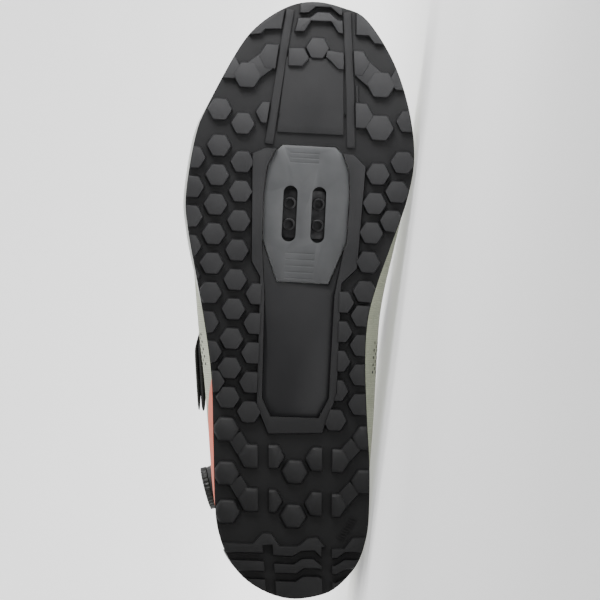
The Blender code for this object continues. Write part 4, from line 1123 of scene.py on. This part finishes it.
FAR = 0.2  # where rays start, well outside the shoe
skin = skin_of([upper, toe_cap, counter, stripe, eyestay])
bpy.ops.mesh.primitive_cylinder_add(vertices=8, radius=0.00032, depth=0.0022)
stitch = bpy.context.object
with editing(stitch):
    choose("EDGE", lambda edge: abs(edge.verts[0].co.z - edge.verts[1].co.z) < 0.0001)
    bpy.ops.mesh.bevel(offset=0.00022, segments=2, affect="EDGES")


def stitch_row(side, knots, gap=0.0034):
    """Stitches along a line drawn in the side view; side is -1 outside and 1 inside."""
    line = line_through([Vector((x, z)) for x, z in knots])
    length = sum((b - a).length for a, b in zip(line, line[1:]))
    points = evenly(line, max(3, round(length / gap)))
    made = []
    for here, ahead in zip(points, points[1:]):
        spot, facing, _, _ = skin.ray_cast(Vector((here.x, side * FAR, here.y)), Vector((0, -side, 0)))
        next_spot, _, _, _ = skin.ray_cast(Vector((ahead.x, side * FAR, ahead.y)), Vector((0, -side, 0)))
        if spot is None or next_spot is None or (next_spot - spot).length > 2 * gap:
            continue
        made.append(set_on(stitch, spot + facing * 0.0001, next_spot - spot))
    return made


STITCH_ROWS = [
    (-1, ((0.196, 0.058), (0.170, 0.068), (0.150, 0.078), (0.130, 0.087))),
    (-1, ((0.100, 0.084), (0.080, 0.075), (0.050, 0.076), (0.025, 0.090))),
    (-1, ((0.236, 0.030), (0.228, 0.040), (0.224, 0.050))),
    (1, ((0.196, 0.058), (0.170, 0.070), (0.150, 0.080), (0.130, 0.090))),
    (1, ((0.100, 0.086), (0.080, 0.077), (0.050, 0.078), (0.025, 0.092))),
    (1, ((0.236, 0.030), (0.228, 0.040), (0.224, 0.050))),
]
stitches = [twin for side, knots in STITCH_ROWS for twin in stitch_row(side, knots)]
bpy.data.objects.remove(stitch)
seams = joined("seam_stitches", stitches)
smooth(laid_down(seams), 60)
wear(seams, thread)
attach(seams, "shoe")
print("stitches:", len(stitches))

# %% [markdown]
# ## Vent holes
# Small punched eyelets let air into the knit: a patch low on each side and a field over the toes.
# Each is a short cylinder whose ends are inset and sunk, modelled once, and rays set the copies on
# the skin in staggered rows.

# %% Set the vents on the knit
bpy.ops.mesh.primitive_cylinder_add(vertices=12, radius=0.0007, depth=0.0006)
vent = bpy.context.object
with editing(vent):
    choose("FACE", lambda face: abs(face.normal.z) > 0.9)
    bpy.ops.mesh.inset(thickness=0.0002, depth=-0.00015)
VENT_PITCH = 0.0036
VENT_SUNK = 0.00015
SIDE_VENTS = Vector((0.112, 0.034))
TOE_VENTS = Vector((0.207, -0.0144))
vents = []


def set_vent(start, direction):
    """One vent where a ray meets the skin."""
    spot, facing, _, _ = skin.ray_cast(start, direction)
    if spot is not None:
        vents.append(set_on(vent, spot - facing * VENT_SUNK, facing))


for row in range(3):
    for k in range(5 - row % 2):
        x = SIDE_VENTS.x + VENT_PITCH * (k + 0.5 * (row % 2))
        for side in (-1, 1):
            set_vent(Vector((x, FAR * side, SIDE_VENTS.y + 0.0030 * row)), Vector((0, -side, 0)))
for row in range(8):
    for k in range(9 - row % 2):
        y = TOE_VENTS.y + VENT_PITCH * (k + 0.5 * (row % 2))
        set_vent(Vector((TOE_VENTS.x + 0.0033 * row, y, FAR)), -UP)
bpy.data.objects.remove(vent)
punched = joined("vent_eyelets", vents)
smooth(laid_down(punched), 40)
wear(punched, hard_black)
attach(punched, "shoe")
print("vents:", len(vents))

# %% [markdown]
# ## Lace dial
# The dial is a knob with a knurled rim. A cylinder with many sides is the start; every second
# upright edge is drawn in for the knurls, the face is inset and sunk, and the rims are
# bevelled. It stands on its packed base. Base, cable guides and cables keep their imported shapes
# and only get a finish.

# %% Knurled knob
DIAL_AXIS = Vector((-0.30, -0.95, 0.06)).normalized()
DIAL_FACE = Vector((0.1712 * SOLE_LENGTH, -0.3790 * BALL_WIDTH, 0.600 * HEEL_HEIGHT))
DIAL_RADIUS = 0.01065
DIAL_HEIGHT = 0.0030
KNURL = 0.955
bpy.ops.mesh.primitive_cylinder_add(vertices=64, radius=DIAL_RADIUS, depth=DIAL_HEIGHT,
                                    location=(0, 0, -DIAL_HEIGHT / 2))
bpy.ops.object.transform_apply(location=True)
dial = bpy.context.object
dial.name = "lace_dial_knob"
for index, corner in enumerate(dial.data.vertices):
    if (index // 2) % 2:
        corner.co.x *= KNURL
        corner.co.y *= KNURL
with editing(dial):
    choose("FACE", lambda face: face.normal.z > 0.9)
    for thickness, depth in ((0.0022, 0.0), (0.0006, -0.0005), (0.0028, 0.0), (0.0005, 0.0004)):
        bpy.ops.mesh.inset(thickness=thickness, depth=depth)
soft_edges(dial, 0.00022, 2, 40)
dial.data.transform(Matrix.Translation(DIAL_FACE) @ DIAL_AXIS.to_track_quat("Z", "Y").to_matrix().to_4x4())
smooth(laid_down(dial))
wear(dial, hard_black)
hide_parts("lace_dial")
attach(dial, "shoe")
BLACK_PARTS = ("dial_base", "guide_outer_1", "guide_outer_2", "guide_inner_1", "guide_inner_2")
for name in BLACK_PARTS + ("cable_1", "cable_2", "cable_3"):
    materials = frame["nodes"][name].data.materials
    materials.clear()
    materials.append(hard_black if name in BLACK_PARTS else cable_steel)
print("dial faces:", len(dial.data.polygons))

# %% [markdown]
# ## Floor
# The set is one sheet of pale paper: a floor that curves up behind the shoe, so that no horizon
# shows. It is a plane whose far edge is pushed up, with a wide bevel in the fold. The paper also
# glows a little, because lamps alone leave it grey where the camera looks along it.

# %% Pale floor
FLOOR_SIZE = 20.0
WALL_PLACE = 4.4
WALL_HEIGHT = 8.0
WALL_CURVE = 3.0
bpy.ops.mesh.primitive_plane_add(size=FLOOR_SIZE, location=(0, WALL_PLACE - FLOOR_SIZE / 2, 0))
floor = bpy.context.object
floor.name = "studio_floor"
with editing(floor):
    choose("EDGE", lambda edge: all(vert.co.y > 0.49 * FLOOR_SIZE for vert in edge.verts))
    bpy.ops.mesh.extrude_region_move(TRANSFORM_OT_translate={"value": (0, 0, WALL_HEIGHT)})
bpy.ops.object.transform_apply(location=True)
shaped(floor, "BEVEL", width=WALL_CURVE, segments=16, limit_method="ANGLE")
smooth(floor, 60)
paper = finish("studio_paper", (0.86, 0.86, 0.86), (0.90, 0.90, 0.90), 3, 200, 0.00005, 0.9, 0.02,
               Emission_Color=(1, 1, 1, 1), Emission_Strength=0.36)
floor.data.materials.append(paper)
print("floor corners:", len(floor.data.vertices))

# %% [markdown]
# ## Light
# A soft key light stands close on the toe's side and gives every lug a shade towards the heel. A
# weak fill opens the shadows and a third lamp lights only the paper behind. The sky is brighter
# behind the shoe than in front of it, which keeps the black tread dark.

# %% Sky and soft lights
world = bpy.data.worlds.new("studio_sky")
world.use_nodes = True
sky = world.node_tree
direction = link(sky, "ShaderNodeTexCoord").outputs["Generated"]
facing = link(sky, "ShaderNodeSeparateXYZ", {}, {"Vector": direction}).outputs["Y"]
level = graded(sky, facing, -0.9, 0.4, 0.15, 1.10)
sky.nodes["Background"].inputs["Color"].default_value = (1.0, 1.0, 1.0, 1.0)
sky.links.new(level, sky.nodes["Background"].inputs["Strength"])
bpy.context.scene.world = world


def soft_light(name, place, target, size, power):
    """A square area light that looks at a target."""
    bpy.ops.object.light_add(type="AREA", location=place)
    lamp = bpy.context.object
    lamp.name = name
    lamp.data.size = size
    lamp.data.energy = power
    lamp.rotation_euler = (Vector(target) - Vector(place)).to_track_quat("-Z", "Y").to_euler()


soft_light("key", (0.62, -0.42, 0.28), (0.02, -0.06, 0.05), 0.35, 6.2)
soft_light("fill", (-0.5, -1.2, 1.1), (0, -0.05, 0.05), 0.8, 5)
soft_light("paper_light", (0.0, 0.5, 1.6), (0.0, 2.6, 0.6), 2.0, 90)

# %% [markdown]
# ## Camera
# The photograph was taken square to the tread from far away. A long lens far off keeps the sole's
# edges parallel, and the roll gives the shoe the same small turn, toe up.

# %% Camera square to the tread
TILT = math.radians(2.9)
VIEW_MIDDLE = Vector((0.1456, 0.0002, 0.0))
VIEW_WIDTH = 0.2917
DISTANCE = 3.5
image_right = LAY_DOWN.to_3x3() @ Vector((math.sin(TILT), math.cos(TILT), 0))
image_up = LAY_DOWN.to_3x3() @ Vector((math.cos(TILT), -math.sin(TILT), 0))
look_back = image_right.cross(image_up)
bpy.ops.object.camera_add()
camera = bpy.context.object
camera.matrix_world = (Matrix.Translation(LAY_DOWN @ VIEW_MIDDLE + look_back * DISTANCE)
                       @ Matrix((image_right, image_up, look_back)).transposed().to_4x4())
camera.data.sensor_width = 36
camera.data.lens = 36 * DISTANCE / VIEW_WIDTH
camera.data.clip_end = 50
bpy.context.scene.camera = camera
print("camera at", [round(value, 3) for value in camera.matrix_world.translation])
